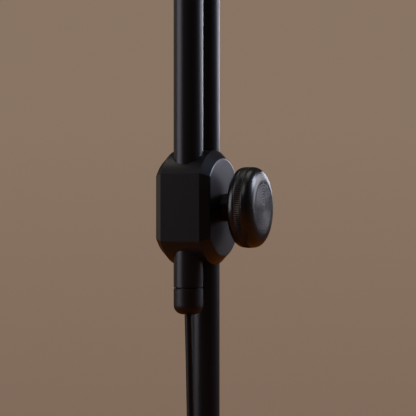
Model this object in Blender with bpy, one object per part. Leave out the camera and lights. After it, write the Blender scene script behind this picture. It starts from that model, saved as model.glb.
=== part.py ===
"""Floor-standing music stand with a reading lamp.

A weighted round base carries a fixed rear post. A clamp block slides on the post and grips the
mast in front of it, so the desk rises and falls. The desk turns and tilts on top of the mast,
and a lamp bar reaches over its top edge. The supply cord leaves the mast's lower end cap.

Frame: metres, +Z up, origin on the floor midway between the two tubes, +X towards the clamp's
knob, -Y towards the player.
"""

from math import acos, cos, degrees, pi, radians, sin

import bmesh
import bpy
from mathutils import Matrix, Vector

# Gaps between pieces
CLEAR = 0.0003  # pieces that touch
RUN = 0.00015  # a shaft that turns or slides in its bore
CUT = 0.010  # how far a cutter reaches past what it cuts

# Tubes
TUBE_R = 0.008
TUBE_WALL = 0.0015
TUBE_SPACING = 0.0255
POST_Y = TUBE_SPACING / 2
MAST_Y = -TUBE_SPACING / 2
TUBE_SIDES = 32

# Base
BASE_R = 0.145
BASE_H = 0.012
FELT_R = 0.138
FELT_H = 0.002
BASE_EDGE = 0.004
BASE_TOP = FELT_H + CLEAR + BASE_H
BOLT_R = 0.004
BOLT_HEAD_R = 0.0065
BOLT_HEAD_H = 0.005
BOLT_LENGTH = 0.028
FLANGE_R = 0.022
FLANGE_H = 0.005
COLLAR_R = 0.0125
COLLAR_H = 0.034
SET_SCREW_R = 0.0023
PLUG_H = 0.026

# Heights
CLAMP_Z = 0.660
POST_TOP = 0.840
HINGE_Z = 1.220

# Clamp block
BLOCK_R = 0.03125
BLOCK_FLAT = 0.0254
BLOCK_W = 0.0315
BLOCK_CHAMFER = 0.0046
SHOE_R = 0.0070
SHOE_NOSE_X = 0.0030
SHOE_BACK_X = 0.0120
SHOE_TRAVEL = 0.0008
BOSS_R = 0.0076
BOSS_END_X = 0.0239

# Knob
STUD_R = 0.004
STUD_TIP_R = 0.003
STUD_TIP_L = 0.003
KNOB_R = 0.0220
KNOB_BACK_X = 0.0244
KNOB_BACK_R = 0.0183
KNOB_BAND_X = (0.02795, 0.0323)
KNOB_FACE_X = 0.0388
KNOB_FACE_R = 0.0144
STUD_END_X = 0.0350

# Mast
MAST_BELOW = 0.0434  # the tube's end below the clamp's axis
CAP_SEAM = 0.0006
CAP_L = 0.0139
CAP_ROUND = 0.005
SPIGOT_L = 0.012
LEAD_R = 0.0021
LEAD_HOLE_R = 0.0024
GRIP_H = 0.008
HEAD_FLANGE_R = 0.0098
HEAD_FLANGE_H = 0.006
HEAD_SPIGOT_L = 0.024

# Swivel and tilt hinge
STEM_R = 0.004
YOKE_R = 0.014
YOKE_BASE_H = 0.006
YOKE_DROP = 0.024  # from the hinge axis down to the yoke's base
EAR_T = 0.004
EAR_R = 0.009
KNUCKLE_R = 0.0085
KNUCKLE_HALF = 0.0085
WASHER_T = 0.0009
PIN_R = 0.003
NUT_R = 0.0058
NUT_H = 0.005
DESK_LEAN = 20.0  # degrees back from upright

# Desk, in its own upright frame with the hinge axis at the origin
DESK_W = 0.480
DESK_BOTTOM = -0.115
DESK_TOP = 0.215
DESK_T = 0.0015
DESK_CORNER = 0.024
DESK_OFF = 0.0350  # hinge axis to the plate's back face
ARM_INSET = 0.035  # from the plate's side to a page arm's pivot
ARM_X = DESK_W / 2 - ARM_INSET
SLOTS = 4  # on each side of the middle
SLOT_FIRST_X = 0.070
SLOT_LAST_X = ARM_X - 0.030
SLOT_W = 0.010
SLOT_Z = (-0.050, 0.160)
BRACKET_HALF = 0.032
BRACKET_H = 0.048
BRACKET_T = 0.003
WEB_HALF = 0.0076
WEB_T = 0.012
LEDGE_DEPTH = 0.045
LEDGE_T = 0.002
LEDGE_LIP = 0.016
LEDGE_BACK = 0.026
SCREW_R = 0.002
SCREW_HEAD_R = 0.004
SCREW_HEAD_H = 0.0022
LEDGE_SCREW_X = DESK_W / 2 - 0.090
ARM_L = 0.150
ARM_W = 0.008
ARM_T = 0.0016
ARM_PIVOT_Z = -0.080
RIVET_R = 0.0022
SPINE_W = 0.014
SPINE_D = 0.008
SPINE_WALL = 0.0012
SPINE_TOP = 0.166

# Lamp
FORK_W = 0.013
LAMP_ARM_T = 0.005
LAMP_ARM_HALF = 0.005
LAMP_HINGE = (0.008, 0.228)  # behind the plate's back face, above the tilt axis
LAMP_RISE = 0.040
LAMP_BEND = 0.055
LAMP_SWEEP = 100.0
LAMP_REACH = 0.025
LAMP_PIN_R = 0.002
LAMP_AIM = 16.5  # degrees that the lamp faces back towards the plate
LAMP_L = 0.300
LAMP_W = 0.032
LAMP_H = 0.012
LAMP_WALL = 0.0015
LAMP_DROP = 0.016  # from the lamp's hinge axis down to its top
MOUNT_FLOOR = 0.0025
BUTTON_X = 0.131
BUTTON_R = 0.0048
BUTTON_PROUD = 0.0015
BUTTON_TRAVEL = 0.001

# Cord. The routes are points that the cord passes, in order.
CORD_R = 0.0021
CORD_MID = (0.0035, -0.0095, 0.262)
CORD_UPPER = [
    (0.0000, MAST_Y, CLAMP_Z - MAST_BELOW - CAP_SEAM - CAP_L - CLEAR),
    (0.0006, -0.0122, 0.570),
    (0.0016, -0.0114, 0.500),
    (0.0024, -0.0106, 0.420),
    (0.0030, -0.0100, 0.340),
    CORD_MID,
]
CORD_LOWER = [
    (0.0035, -0.0095, 0.262 - CLEAR),
    (0.0042, -0.0095, 0.200),
    (0.0056, -0.0100, 0.140),
    (0.0082, -0.0112, 0.090),
    (0.0130, -0.0130, 0.052),
    (0.0220, -0.0140, 0.0275),
    (0.0350, -0.0090, 0.0180),
    (0.0480, 0.0040, 0.0167),
    (0.0580, 0.0250, 0.0167),
    (0.0620, 0.0500, 0.0167),
    (0.0600, 0.0800, 0.0167),
    (0.0540, 0.1080, 0.0168),
    (0.0475, 0.1290, 0.0169),
    (0.0440, 0.1420, 0.0162),
    (0.0410, 0.1540, 0.0112),
    (0.0380, 0.1650, 0.0055),
    (0.0348, 0.1780, 0.0028),
    (0.0328, 0.1910, 0.0024),
    (0.0320, 0.2060, 0.0024),
]
CORD_TAIL = [
    (-0.0293, 0.1890, 0.0100),
    (-0.0342, 0.1808, 0.0084),
    (-0.0414, 0.1747, 0.0062),
    (-0.0500, 0.1716, 0.0045),
    (-0.0580, 0.1710, 0.0040),
]
COIL_CENTRE = (0.0, 0.2090)
COIL_MID_R = 0.0230
COIL_HALF = 0.0065
COIL_H = 0.0128
PLUG_Y = 0.1710
PLUG_Z = 0.0042
PLUG_BOOT_X = -0.0583
PLUG_BOOT_L = 0.012
PLUG_BODY_L = 0.026
PLUG_BODY_W = 0.015
PLUG_BODY_H = 0.008
PLUG_SHELL = (0.012, 0.0120, 0.0045)
PLUG_SHELL_WALL = 0.0004


# Finishes ---------------------------------------------------------------------------------------


def finish(name, colour, roughness, metallic=0.0):
    """A Principled material with one colour."""
    made = bpy.data.materials.new(name)
    made.use_nodes = True
    shader = made.node_tree.nodes["Principled BSDF"]
    shader.inputs["Base Color"].default_value = (*colour, 1.0)
    shader.inputs["Roughness"].default_value = roughness
    shader.inputs["Metallic"].default_value = metallic
    made.diffuse_color = (*colour, 1.0)
    return made


FINISHES = {
    "black_coat": ((0.016, 0.016, 0.017), 0.42, 0.0),
    "coated_casting": ((0.018, 0.018, 0.019), 0.42, 0.0),
    "black_anodised": ((0.020, 0.020, 0.021), 0.36, 0.6),
    "black_plastic": ((0.014, 0.014, 0.014), 0.50, 0.0),
    "bright_steel": ((0.550, 0.550, 0.560), 0.28, 1.0),
    "brass": ((0.700, 0.500, 0.220), 0.30, 1.0),
    "felt": ((0.030, 0.030, 0.032), 0.95, 0.0),
    "cord_jacket": ((0.012, 0.012, 0.012), 0.45, 0.0),
    "opal": ((0.850, 0.850, 0.820), 0.35, 0.0),
    "circuit_board": ((0.800, 0.810, 0.780), 0.50, 0.0),
}


# Shapes -----------------------------------------------------------------------------------------


def piece(name, bm, look=None, parent=None):
    """Turns a bmesh into an object; with no look it is a helper that a Boolean uses."""
    bmesh.ops.recalc_face_normals(bm, faces=bm.faces)
    mesh = bpy.data.meshes.new(name)
    bm.to_mesh(mesh)
    bm.free()
    mesh.shade_smooth()
    mesh.set_sharp_from_angle(angle=radians(30))
    obj = bpy.data.objects.new(name, mesh)
    bpy.context.scene.collection.objects.link(obj)
    obj.parent = parent
    if look is None:
        obj.hide_render = True
        obj.display_type = "WIRE"
    else:
        mesh.materials.append(finish(name, *FINISHES[look]))
    return obj


AXIS_TURN = {
    "X": Matrix.Rotation(pi / 2, 4, "Y"),
    "Y": Matrix.Rotation(-pi / 2, 4, "X"),
    "Z": Matrix.Identity(4),
}


def turned(name, profile, look=None, parent=None, axis="Z", centre=(0, 0, 0), sides=TUBE_SIDES):
    """A closed outline of (radius, height along the axis) points, turned about that axis."""
    bm = bmesh.new()
    points = [bm.verts.new((r, 0, h)) for r, h in profile]
    pairs = zip(points, points[1:] + points[:1])
    edges = [bm.edges.new(pair) for pair in pairs if pair[0].co.x > 0 or pair[1].co.x > 0]
    bmesh.ops.spin(
        bm,
        geom=points + edges,
        cent=(0, 0, 0),
        axis=(0, 0, 1),
        angle=2 * pi,
        steps=sides,
        use_merge=True,
    )
    bmesh.ops.remove_doubles(bm, verts=bm.verts, dist=1e-6)
    bm.transform(Matrix.Translation(centre) @ AXIS_TURN[axis])
    return piece(name, bm, look, parent)


def rod(name, radius, low, high, look=None, parent=None, axis="Z", centre=(0, 0, 0), sides=24):
    """A solid cylinder from low to high along its axis."""
    profile = [(0, low), (radius, low), (radius, high), (0, high)]
    return turned(name, profile, look, parent, axis, centre, sides)


def ring(name, inner, outer, low, high, look, parent=None, axis="Z", centre=(0, 0, 0), sides=24):
    """A plain tube or washer."""
    profile = [(outer, high), (outer, low), (inner, low), (inner, high)]
    return turned(name, profile, look, parent, axis, centre, sides)


def extruded(name, outline, low, high, look=None, parent=None, axis="X"):
    """An outline in the two other axes, in X, Y, Z order, extruded along the axis."""
    place = {
        "X": lambda a, b: (low, a, b),
        "Y": lambda a, b: (a, low, b),
        "Z": lambda a, b: (a, b, low),
    }[axis]
    bm = bmesh.new()
    face = bm.faces.new([bm.verts.new(place(a, b)) for a, b in outline])
    grown = bmesh.ops.extrude_face_region(bm, geom=[face])
    verts = [v for v in grown["geom"] if isinstance(v, bmesh.types.BMVert)]
    step = Vector([(high - low) * (axis == name_of) for name_of in "XYZ"])
    bmesh.ops.translate(bm, verts=verts, vec=step)
    return piece(name, bm, look, parent)


def block(name, low, high, look=None, parent=None):
    """A box between two corners."""
    outline = [(low[1], low[2]), (high[1], low[2]), (high[1], high[2]), (low[1], high[2])]
    return extruded(name, outline, low[0], high[0], look, parent)


def arc(centre, radius, start, end, steps):
    """Points on a circle from one angle to another, in degrees."""
    turns = [radians(start + (end - start) * i / steps) for i in range(steps + 1)]
    return [(centre[0] + radius * cos(t), centre[1] + radius * sin(t)) for t in turns]


def rounded_rectangle(low, high, radius, steps=6):
    """A rectangle's outline with round corners."""
    corners = (
        ((high[0] - radius, high[1] - radius), 0),
        ((low[0] + radius, high[1] - radius), 90),
        ((low[0] + radius, low[1] + radius), 180),
        ((high[0] - radius, low[1] + radius), 270),
    )
    return [p for centre, turn in corners for p in arc(centre, radius, turn, turn + 90, steps)]


def boolean(obj, other, operation="DIFFERENCE"):
    """Cuts a helper from an object, or joins it on."""
    modifier = obj.modifiers.new(operation.title(), "BOOLEAN")
    modifier.object = other
    modifier.operation = operation
    return obj


def bevel(obj, width, segments=1, angle=60):
    """Bevels the edges sharper than an angle."""
    modifier = obj.modifiers.new("Bevel", "BEVEL")
    modifier.width = width
    modifier.segments = segments
    modifier.limit_method = "ANGLE"
    modifier.angle_limit = radians(angle)
    return obj


def empty(name, location, parent=None, tilt=0.0):
    """A joint's axis, which carries the pieces that move on it."""
    obj = bpy.data.objects.new(name, None)
    bpy.context.scene.collection.objects.link(obj)
    obj.location = location
    obj.rotation_euler.x = radians(tilt)
    obj.parent = parent
    return obj


def smooth_route(route, spacing):
    """Evenly spaced points on a smooth curve through the route's points."""
    points = [Vector(p) for p in route]
    points = [2 * points[0] - points[1], *points, 2 * points[-1] - points[-2]]
    dense = []
    for a, b, c, d in zip(points, points[1:], points[2:], points[3:]):
        for i in range(24):
            t = i / 24
            dense.append(
                0.5 * (2 * b + (c - a) * t + (2 * a - 5 * b + 4 * c - d) * t**2)
                + 0.5 * (3 * b - a - 3 * c + d) * t**3
            )
    dense.append(points[-2])
    steps = [(q - p).length for p, q in zip(dense, dense[1:])]
    count = max(2, round(sum(steps) / spacing))
    even, travelled, wanted = [dense[0]], 0.0, sum(steps) / count
    for p, q, step in zip(dense, dense[1:], steps):
        while travelled + step >= wanted * len(even) and len(even) < count:
            even.append(p.lerp(q, (wanted * len(even) - travelled) / step))
        travelled += step
    return [*even, dense[-1]]


def tube(name, route, radius, look, parent=None, spacing=0.011):
    """A cord's solid: a round tube along a route."""
    curve = bpy.data.curves.new(name, "CURVE")
    curve.dimensions = "3D"
    curve.bevel_depth = radius
    curve.bevel_resolution = 2
    curve.use_fill_caps = True
    points = smooth_route(route, spacing)
    spline = curve.splines.new("POLY")
    spline.points.add(len(points) - 1)
    for place, point in zip(spline.points, points):
        place.co = (*point, 1)
    curve.materials.append(finish(name, *FINISHES[look]))
    obj = bpy.data.objects.new(name, curve)
    bpy.context.scene.collection.objects.link(obj)
    obj.parent = parent
    return obj


def clear_scene():
    """Removes whatever the scene holds."""
    for obj in list(bpy.data.objects):
        bpy.data.objects.remove(obj, do_unlink=True)


# Base -------------------------------------------------------------------------------------------


def make_base():
    """The weighted base, the post and what fastens them together."""
    post = (0, POST_Y, 0)
    tube_bore = TUBE_R - TUBE_WALL
    rod("base_felt", FELT_R, 0, FELT_H, "felt", sides=64)

    under = FELT_H + CLEAR
    disc = turned(
        "base_disc",
        [
            (0, under),
            (BASE_R - 0.001, under),
            (BASE_R, under + 0.001),
            *[
                (BASE_R - BASE_EDGE + BASE_EDGE * cos(t), BASE_TOP - BASE_EDGE + BASE_EDGE * sin(t))
                for t in [pi / 2 * i / 3 for i in range(4)]
            ],
            (0, BASE_TOP),
        ],
        "black_coat",
        sides=56,
    )
    head_room = under + BOLT_HEAD_H + 2 * CLEAR
    boolean(disc, rod("disc_counterbore", BOLT_HEAD_R + 0.001, 0, head_room, centre=post))
    boolean(disc, rod("disc_hole", BOLT_R + CLEAR, 0, BASE_TOP + 0.01, centre=post))
    turned(
        "base_bolt",
        [
            (0, under),
            (BOLT_HEAD_R, under),
            (BOLT_HEAD_R, under + BOLT_HEAD_H),
            (BOLT_R, under + BOLT_HEAD_H),
            (BOLT_R, under + BOLT_LENGTH),
            (0, under + BOLT_LENGTH),
        ],
        "bright_steel",
        centre=post,
        sides=24,
    )

    foot = BASE_TOP + CLEAR
    bore = TUBE_R + CLEAR
    flange = turned(
        "post_flange",
        [
            (bore, foot),
            (FLANGE_R, foot),
            (FLANGE_R, foot + FLANGE_H - 0.001),
            (FLANGE_R - 0.001, foot + FLANGE_H),
            (COLLAR_R, foot + FLANGE_H),
            (COLLAR_R, foot + COLLAR_H - 0.0015),
            (COLLAR_R - 0.0015, foot + COLLAR_H),
            (bore, foot + COLLAR_H),
        ],
        "black_coat",
        centre=post,
    )
    screw_at = (0, POST_Y, foot + FLANGE_H + 0.012)
    hole_r = SET_SCREW_R + CLEAR
    hole = rod("set_screw_hole", hole_r, TUBE_R, 0.02, axis="Y", centre=screw_at, sides=16)
    boolean(flange, hole)
    start, end = bore + CLEAR, COLLAR_R - 0.0004
    rod("flange_set_screw", SET_SCREW_R, start, end, "bright_steel", None, "Y", screw_at, 16)

    plug_r = tube_bore - CLEAR
    threads = BOLT_R + CLEAR
    ring("post_plug", threads, plug_r, foot, foot + PLUG_H, "bright_steel", centre=post)
    ring("rear_post", tube_bore, TUBE_R, foot, POST_TOP, "black_coat", centre=post, sides=TUBE_SIDES)
    turned(
        "post_cap",
        [
            (0, POST_TOP - 0.010),
            (plug_r, POST_TOP - 0.010),
            (plug_r, POST_TOP + CLEAR),
            (TUBE_R, POST_TOP + CLEAR),
            (TUBE_R, POST_TOP + 0.002),
            (TUBE_R * 0.85, POST_TOP + 0.0036),
            (TUBE_R * 0.5, POST_TOP + 0.0046),
            (0, POST_TOP + 0.005),
        ],
        "black_plastic",
        centre=post,
    )


# Clamp ------------------------------------------------------------------------------------------


def block_outline():
    """The clamp block's side view: a circle with its front and back cut flat."""
    corner = degrees(acos(BLOCK_FLAT / BLOCK_R))
    upper = arc((0, 0), BLOCK_R, corner, 180 - corner, 14)
    return upper + [(-y, -z) for y, z in upper]


def make_clamp(clamp):
    """The block that holds both tubes, with its wedge shoe, boss, stud and knob."""
    body = extruded("clamp_block", block_outline(), -BLOCK_W / 2, BLOCK_W / 2, "coated_casting", clamp)
    bevel(body, BLOCK_CHAMFER)
    for label, y in (("post", POST_Y), ("mast", MAST_Y)):
        reach = BLOCK_R + 0.005
        hole = rod(f"{label}_bore", TUBE_R + RUN, -reach, reach, None, clamp, "Z", (0, y, 0), TUBE_SIDES)
        boolean(body, hole)
    chamber = SHOE_NOSE_X - 0.002
    boolean(body, rod("shoe_chamber", SHOE_R + RUN, chamber, BLOCK_W, None, clamp, "X"))

    end = BLOCK_W / 2
    spigot = SHOE_R - RUN
    turned(
        "stud_boss",
        [
            (STUD_R + RUN, SHOE_BACK_X + SHOE_TRAVEL + 2 * CLEAR),
            (spigot, SHOE_BACK_X + SHOE_TRAVEL + 2 * CLEAR),
            (spigot, end + CLEAR),
            (BOSS_R, end + CLEAR),
            (BOSS_R, BOSS_END_X - 0.0005),
            (BOSS_R - 0.0005, BOSS_END_X),
            (STUD_R + RUN, BOSS_END_X),
        ],
        "black_anodised",
        clamp,
        "X",
    )


def make_shoe(shoe):
    """The brass wedge that the stud pushes between the two tubes."""
    body = rod("wedge_shoe", SHOE_R, SHOE_NOSE_X, SHOE_BACK_X, "brass", shoe, "X", sides=TUBE_SIDES)
    for label, y in (("post", POST_Y), ("mast", MAST_Y)):
        scallop = rod(f"{label}_scallop", TUBE_R + RUN, -0.02, 0.02, None, shoe, "Z", (0, y, 0), 48)
        boolean(body, scallop)
    socket = SHOE_BACK_X - STUD_TIP_L - 2 * CLEAR
    boolean(body, rod("tip_socket", STUD_TIP_R + CLEAR, socket, SHOE_BACK_X + 0.01, None, shoe, "X"))


def make_knob(knob):
    """The knob on its threaded stud."""
    seat = SHOE_BACK_X + CLEAR
    turned(
        "knob_stud",
        [
            (0, SHOE_BACK_X - STUD_TIP_L),
            (STUD_TIP_R, SHOE_BACK_X - STUD_TIP_L),
            (STUD_TIP_R, seat),
            (STUD_R, seat),
            (STUD_R, STUD_END_X),
            (0, STUD_END_X),
        ],
        "bright_steel",
        knob,
        "X",
        sides=24,
    )
    bore = STUD_R + CLEAR
    band_low, band_high = KNOB_BAND_X
    quarter = [pi / 2 * i / 5 for i in range(6)]
    back = [
        (
            KNOB_BACK_R + (KNOB_R - KNOB_BACK_R) * sin(t),
            band_low - (band_low - KNOB_BACK_X) * cos(t),
        )
        for t in quarter
    ]
    front = [
        (
            KNOB_FACE_R + (KNOB_R - KNOB_FACE_R) * cos(t),
            band_high + (KNOB_FACE_X - band_high) * sin(t),
        )
        for t in quarter
    ]
    depth = STUD_END_X + CLEAR
    profile = [(0, depth), (bore, depth), (bore, KNOB_BACK_X), *back, *front, (0, KNOB_FACE_X)]
    turned("knob", profile, "black_anodised", knob, "X", sides=40)


# Mast -------------------------------------------------------------------------------------------


def mast_top():
    """The height of the mast tube's upper end."""
    return HINGE_Z - YOKE_DROP - YOKE_BASE_H - CLEAR - HEAD_FLANGE_H - CLEAR


def cap_bottom():
    """The height of the mast cap's lower end."""
    return CLAMP_Z - MAST_BELOW - CAP_SEAM - CAP_L


def make_mast(mast):
    """The sliding tube with its end fittings and the lead inside it."""
    tube_bore = TUBE_R - TUBE_WALL
    fit = tube_bore - CLEAR
    low = CLAMP_Z - MAST_BELOW
    top = mast_top()
    ring("mast_tube", tube_bore, TUBE_R, low, top, "black_coat", mast, sides=TUBE_SIDES)

    bottom = cap_bottom()
    rim = bottom + CAP_L
    quarter = [pi / 2 * i / 4 for i in range(5)]
    corner = [
        (TUBE_R - CAP_ROUND + CAP_ROUND * sin(t), bottom + CAP_ROUND - CAP_ROUND * cos(t))
        for t in quarter
    ]
    turned(
        "mast_cap",
        [
            (LEAD_HOLE_R, bottom),
            *corner,
            (TUBE_R, rim - 0.0005),
            (TUBE_R - 0.0005, rim),
            (fit, rim),
            (fit, low + SPIGOT_L),
            (LEAD_HOLE_R, low + SPIGOT_L),
        ],
        "black_plastic",
        mast,
    )
    grip = low + SPIGOT_L + CLEAR
    ring("cord_grip", LEAD_HOLE_R, fit, grip, grip + GRIP_H, "black_plastic", mast)
    stem_end = top - HEAD_SPIGOT_L - 0.008
    rod("inner_lead", LEAD_R, bottom, stem_end, "cord_jacket", mast, sides=16)

    seat = top + CLEAR
    hole = STEM_R + RUN
    turned(
        "mast_head",
        [
            (hole, top - HEAD_SPIGOT_L),
            (fit, top - HEAD_SPIGOT_L),
            (fit, seat),
            (HEAD_FLANGE_R, seat),
            (HEAD_FLANGE_R, seat + HEAD_FLANGE_H - 0.001),
            (HEAD_FLANGE_R - 0.001, seat + HEAD_FLANGE_H),
            (hole, seat + HEAD_FLANGE_H),
        ],
        "black_anodised",
        mast,
    )


# Swivel -----------------------------------------------------------------------------------------


def ear_inner():
    """Half the gap between the yoke's ears."""
    return KNUCKLE_HALF + WASHER_T + 2 * CLEAR


def make_swivel(swivel):
    """The yoke that turns in the mast's head, with the tilt hinge's bolt, nut and washers."""
    base_top = -YOKE_DROP
    base_low = base_top - YOKE_BASE_H
    stem_low = base_low - CLEAR - HEAD_FLANGE_H - CLEAR - HEAD_SPIGOT_L - 0.004
    groove = stem_low + 0.0012
    turned_base = [
        (0, stem_low),
        (STEM_R, stem_low),
        (STEM_R, groove),
        (STEM_R - 0.0008, groove),
        (STEM_R - 0.0008, groove + 0.0012),
        (STEM_R, groove + 0.0012),
        (STEM_R, base_low),
        (YOKE_R - 0.001, base_low),
        (YOKE_R, base_low + 0.001),
        (YOKE_R, base_top),
        (0, base_top),
    ]
    yoke = turned("swivel_yoke", turned_base, "black_anodised", swivel, sides=24)
    inner = ear_inner()
    outer = inner + EAR_T
    ear = [*arc((0, 0), EAR_R, 0, 180, 10), (-EAR_R, base_top - 0.002), (EAR_R, base_top - 0.002)]
    for side, low in (("left", -outer), ("right", inner)):
        boolean(yoke, extruded(f"ear_{side}", ear, low, low + EAR_T, None, swivel), "UNION")
    boolean(yoke, rod("ear_holes", PIN_R + CLEAR, -0.03, 0.03, None, swivel, "X"))
    clip_r = STEM_R - 0.0008 + CLEAR
    clip_rim = TUBE_R - TUBE_WALL - 0.0005
    ring("stem_clip", clip_r, clip_rim, groove + 0.0002, groove + 0.0010, "bright_steel", swivel)

    turned(
        "tilt_bolt",
        [
            (0, -outer - CLEAR - 0.003),
            (NUT_R - 0.0006, -outer - CLEAR - 0.003),
            (NUT_R, -outer - CLEAR - 0.0022),
            (NUT_R, -outer - CLEAR),
            (PIN_R, -outer - CLEAR),
            (PIN_R, outer + NUT_H + 0.0015),
            (0, outer + NUT_H + 0.0015),
        ],
        "bright_steel",
        swivel,
        "X",
    )
    nut_low = outer + CLEAR
    nut = rod("tilt_nut", NUT_R, nut_low, nut_low + NUT_H, "bright_steel", swivel, "X", sides=6)
    boolean(nut, rod("nut_bore", PIN_R + CLEAR, 0, 0.04, None, swivel, "X"))
    for side, start in (("left", -inner + CLEAR), ("right", inner - CLEAR - WASHER_T)):
        end = start + WASHER_T
        ring(f"tilt_washer_{side}", PIN_R + RUN, 0.008, start, end, "black_plastic", swivel, "X")


# Desk -------------------------------------------------------------------------------------------

PLATE_BACK = -DESK_OFF
PLATE_FRONT = -DESK_OFF - DESK_T


def screw(name, at, parent):
    """A button-head screw from behind, with its head on what it holds to the plate."""
    x, y, z = at
    head = y + SCREW_HEAD_H
    profile = [
        (0, PLATE_FRONT + CLEAR),
        (SCREW_R, PLATE_FRONT + CLEAR),
        (SCREW_R, y),
        (SCREW_HEAD_R, y),
        (SCREW_HEAD_R, y + 0.0012),
        (SCREW_HEAD_R * 0.6, head),
        (0, head),
    ]
    return turned(name, profile, "bright_steel", parent, "Y", (x, 0, z), 16)


def make_desk(desk):
    """The plate with its bracket, ledge and fastenings."""
    width = DESK_W / 2
    outline = rounded_rectangle((-width, DESK_BOTTOM), (width, DESK_TOP), DESK_CORNER)
    plate = extruded("desk_plate", outline, PLATE_FRONT, PLATE_BACK, "black_coat", desk, "Y")
    step = (SLOT_LAST_X - SLOT_FIRST_X) / (SLOTS - 1)
    half = SLOT_W / 2
    for x in [side * (SLOT_FIRST_X + step * i) for i in range(SLOTS) for side in (-1, 1)]:
        slot = arc((x, SLOT_Z[1] - half), half, 0, 180, 5)
        slot += arc((x, SLOT_Z[0] + half), half, 180, 360, 5)
        cutter = extruded(f"slot_{x:+.3f}", slot, PLATE_FRONT - CUT, PLATE_BACK + CUT, None, desk, "Y")
        boolean(plate, cutter)

    back = PLATE_BACK + CLEAR
    bracket = rod("desk_bracket", KNUCKLE_R, -KNUCKLE_HALF, KNUCKLE_HALF, "black_anodised", desk, "X")
    low, high = (-WEB_HALF, back + 0.001, -WEB_T / 2), (WEB_HALF, 0, WEB_T / 2)
    boolean(bracket, block("bracket_web", low, high, None, desk), "UNION")
    corner = (BRACKET_HALF, BRACKET_H / 2)
    foot = rounded_rectangle((-corner[0], -corner[1]), corner, 0.006, 3)
    foot_plate = extruded("bracket_foot", foot, back, back + BRACKET_T, None, desk, "Y")
    boolean(bracket, foot_plate, "UNION")
    boolean(bracket, rod("knuckle_bore", PIN_R + RUN, -0.03, 0.03, None, desk, "X"))
    screw_x = BRACKET_HALF - 0.009
    for side, x in (("left", -screw_x), ("right", screw_x)):
        hole = screw_hole(f"bracket_hole_{side}", x, 0, desk)
        boolean(bracket, hole)
        boolean(plate, hole)
        screw(f"bracket_screw_{side}", (x, back + BRACKET_T + CLEAR, 0), desk)
    make_ledge(desk, plate)
    make_spine(desk)
    return plate


def screw_hole(name, x, z, desk):
    """The cutter for a screw's hole through the plate and what is behind it."""
    low, high = PLATE_FRONT - CUT, PLATE_BACK + CUT
    return rod(name, SCREW_R + CLEAR, low, high, None, desk, "Y", (x, 0, z), 16)


def make_ledge(desk, plate):
    """The shelf that the sheets stand on, with its two screws."""
    low = DESK_BOTTOM - CLEAR - LEDGE_T
    floor = DESK_BOTTOM - CLEAR
    lip_back = PLATE_FRONT - LEDGE_DEPTH
    back = PLATE_BACK + CLEAR
    outline = [
        (back + LEDGE_T, low),
        (back + LEDGE_T, DESK_BOTTOM + LEDGE_BACK),
        (back, DESK_BOTTOM + LEDGE_BACK),
        (back, floor),
        (lip_back, floor),
        (lip_back, floor + LEDGE_LIP),
        (lip_back - LEDGE_T, floor + LEDGE_LIP),
        (lip_back - LEDGE_T, low),
    ]
    width = DESK_W / 2 - 0.010
    ledge = extruded("ledge", outline, -width, width, "black_coat", desk)
    z = DESK_BOTTOM + LEDGE_BACK / 2
    for side, x in (("left", -LEDGE_SCREW_X), ("right", LEDGE_SCREW_X)):
        hole = screw_hole(f"ledge_hole_{side}", x, z, desk)
        boolean(ledge, hole)
        boolean(plate, hole)
        screw(f"ledge_screw_{side}", (x, back + LEDGE_T + CLEAR, z), desk)


def make_spine(desk):
    """The cover that hides the lead up the back of the plate, and the lead itself."""
    low = BRACKET_H / 2 + 2 * CLEAR
    near = PLATE_BACK + CLEAR
    half = SPINE_W / 2
    wall = SPINE_WALL
    outline = [
        (-half, near),
        (-half, near + SPINE_D),
        (half, near + SPINE_D),
        (half, near),
        (half - wall, near),
        (half - wall, near + SPINE_D - wall),
        (-half + wall, near + SPINE_D - wall),
        (-half + wall, near),
    ]
    extruded("desk_spine", outline, low, SPINE_TOP, "black_coat", desk, "Z")
    centre = (0, near + SPINE_D / 2 - wall / 2, 0)
    rod("spine_lead", 0.0016, low + 0.002, SPINE_TOP - 0.002, "cord_jacket", desk, "Z", centre, 12)


def make_page_arm(pivot, side):
    """A flat arm that keeps the sheets open. It turns on its rivet."""
    half = ARM_W / 2
    outline = arc((0, ARM_L - 2 * half), half, 0, 180, 8) + arc((0, 0), half, 180, 360, 8)
    arm = extruded(f"page_arm_{side}", outline, -ARM_T / 2, ARM_T / 2, "black_coat", pivot, "Y")
    boolean(arm, rod(f"arm_hole_{side}", RIVET_R + RUN, -CUT, CUT, None, pivot, "Y", sides=20))


def make_rivet(desk, plate, side, x):
    """The rivet that holds a page arm off the plate."""
    front = PLATE_FRONT - CLEAR
    collar = front - 0.0012
    arm_front = collar - 2 * CLEAR - ARM_T
    at = (x, 0, ARM_PIVOT_Z)
    turned(
        f"arm_rivet_{side}",
        [
            (0, PLATE_BACK + 0.0014),
            (0.0036, PLATE_BACK + 0.0014),
            (0.0036, PLATE_BACK + CLEAR),
            (RIVET_R, PLATE_BACK + CLEAR),
            (RIVET_R, front),
            (0.0040, front),
            (0.0040, collar),
            (RIVET_R, collar),
            (RIVET_R, arm_front - CLEAR),
            (0.0036, arm_front - CLEAR),
            (0.0030, arm_front - CLEAR - 0.0012),
            (0, arm_front - CLEAR - 0.0012),
        ],
        "bright_steel",
        desk,
        "Y",
        at,
        20,
    )
    boolean(plate, rod(f"rivet_hole_{side}", RIVET_R + CLEAR, -0.06, 0, None, desk, "Y", at, 20))


def page_arm_y():
    """Where the page arms' middle plane lies in front of the plate."""
    return PLATE_FRONT - 2 * CLEAR - 0.0012 - CLEAR - ARM_T / 2


# Lamp -------------------------------------------------------------------------------------------


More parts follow.
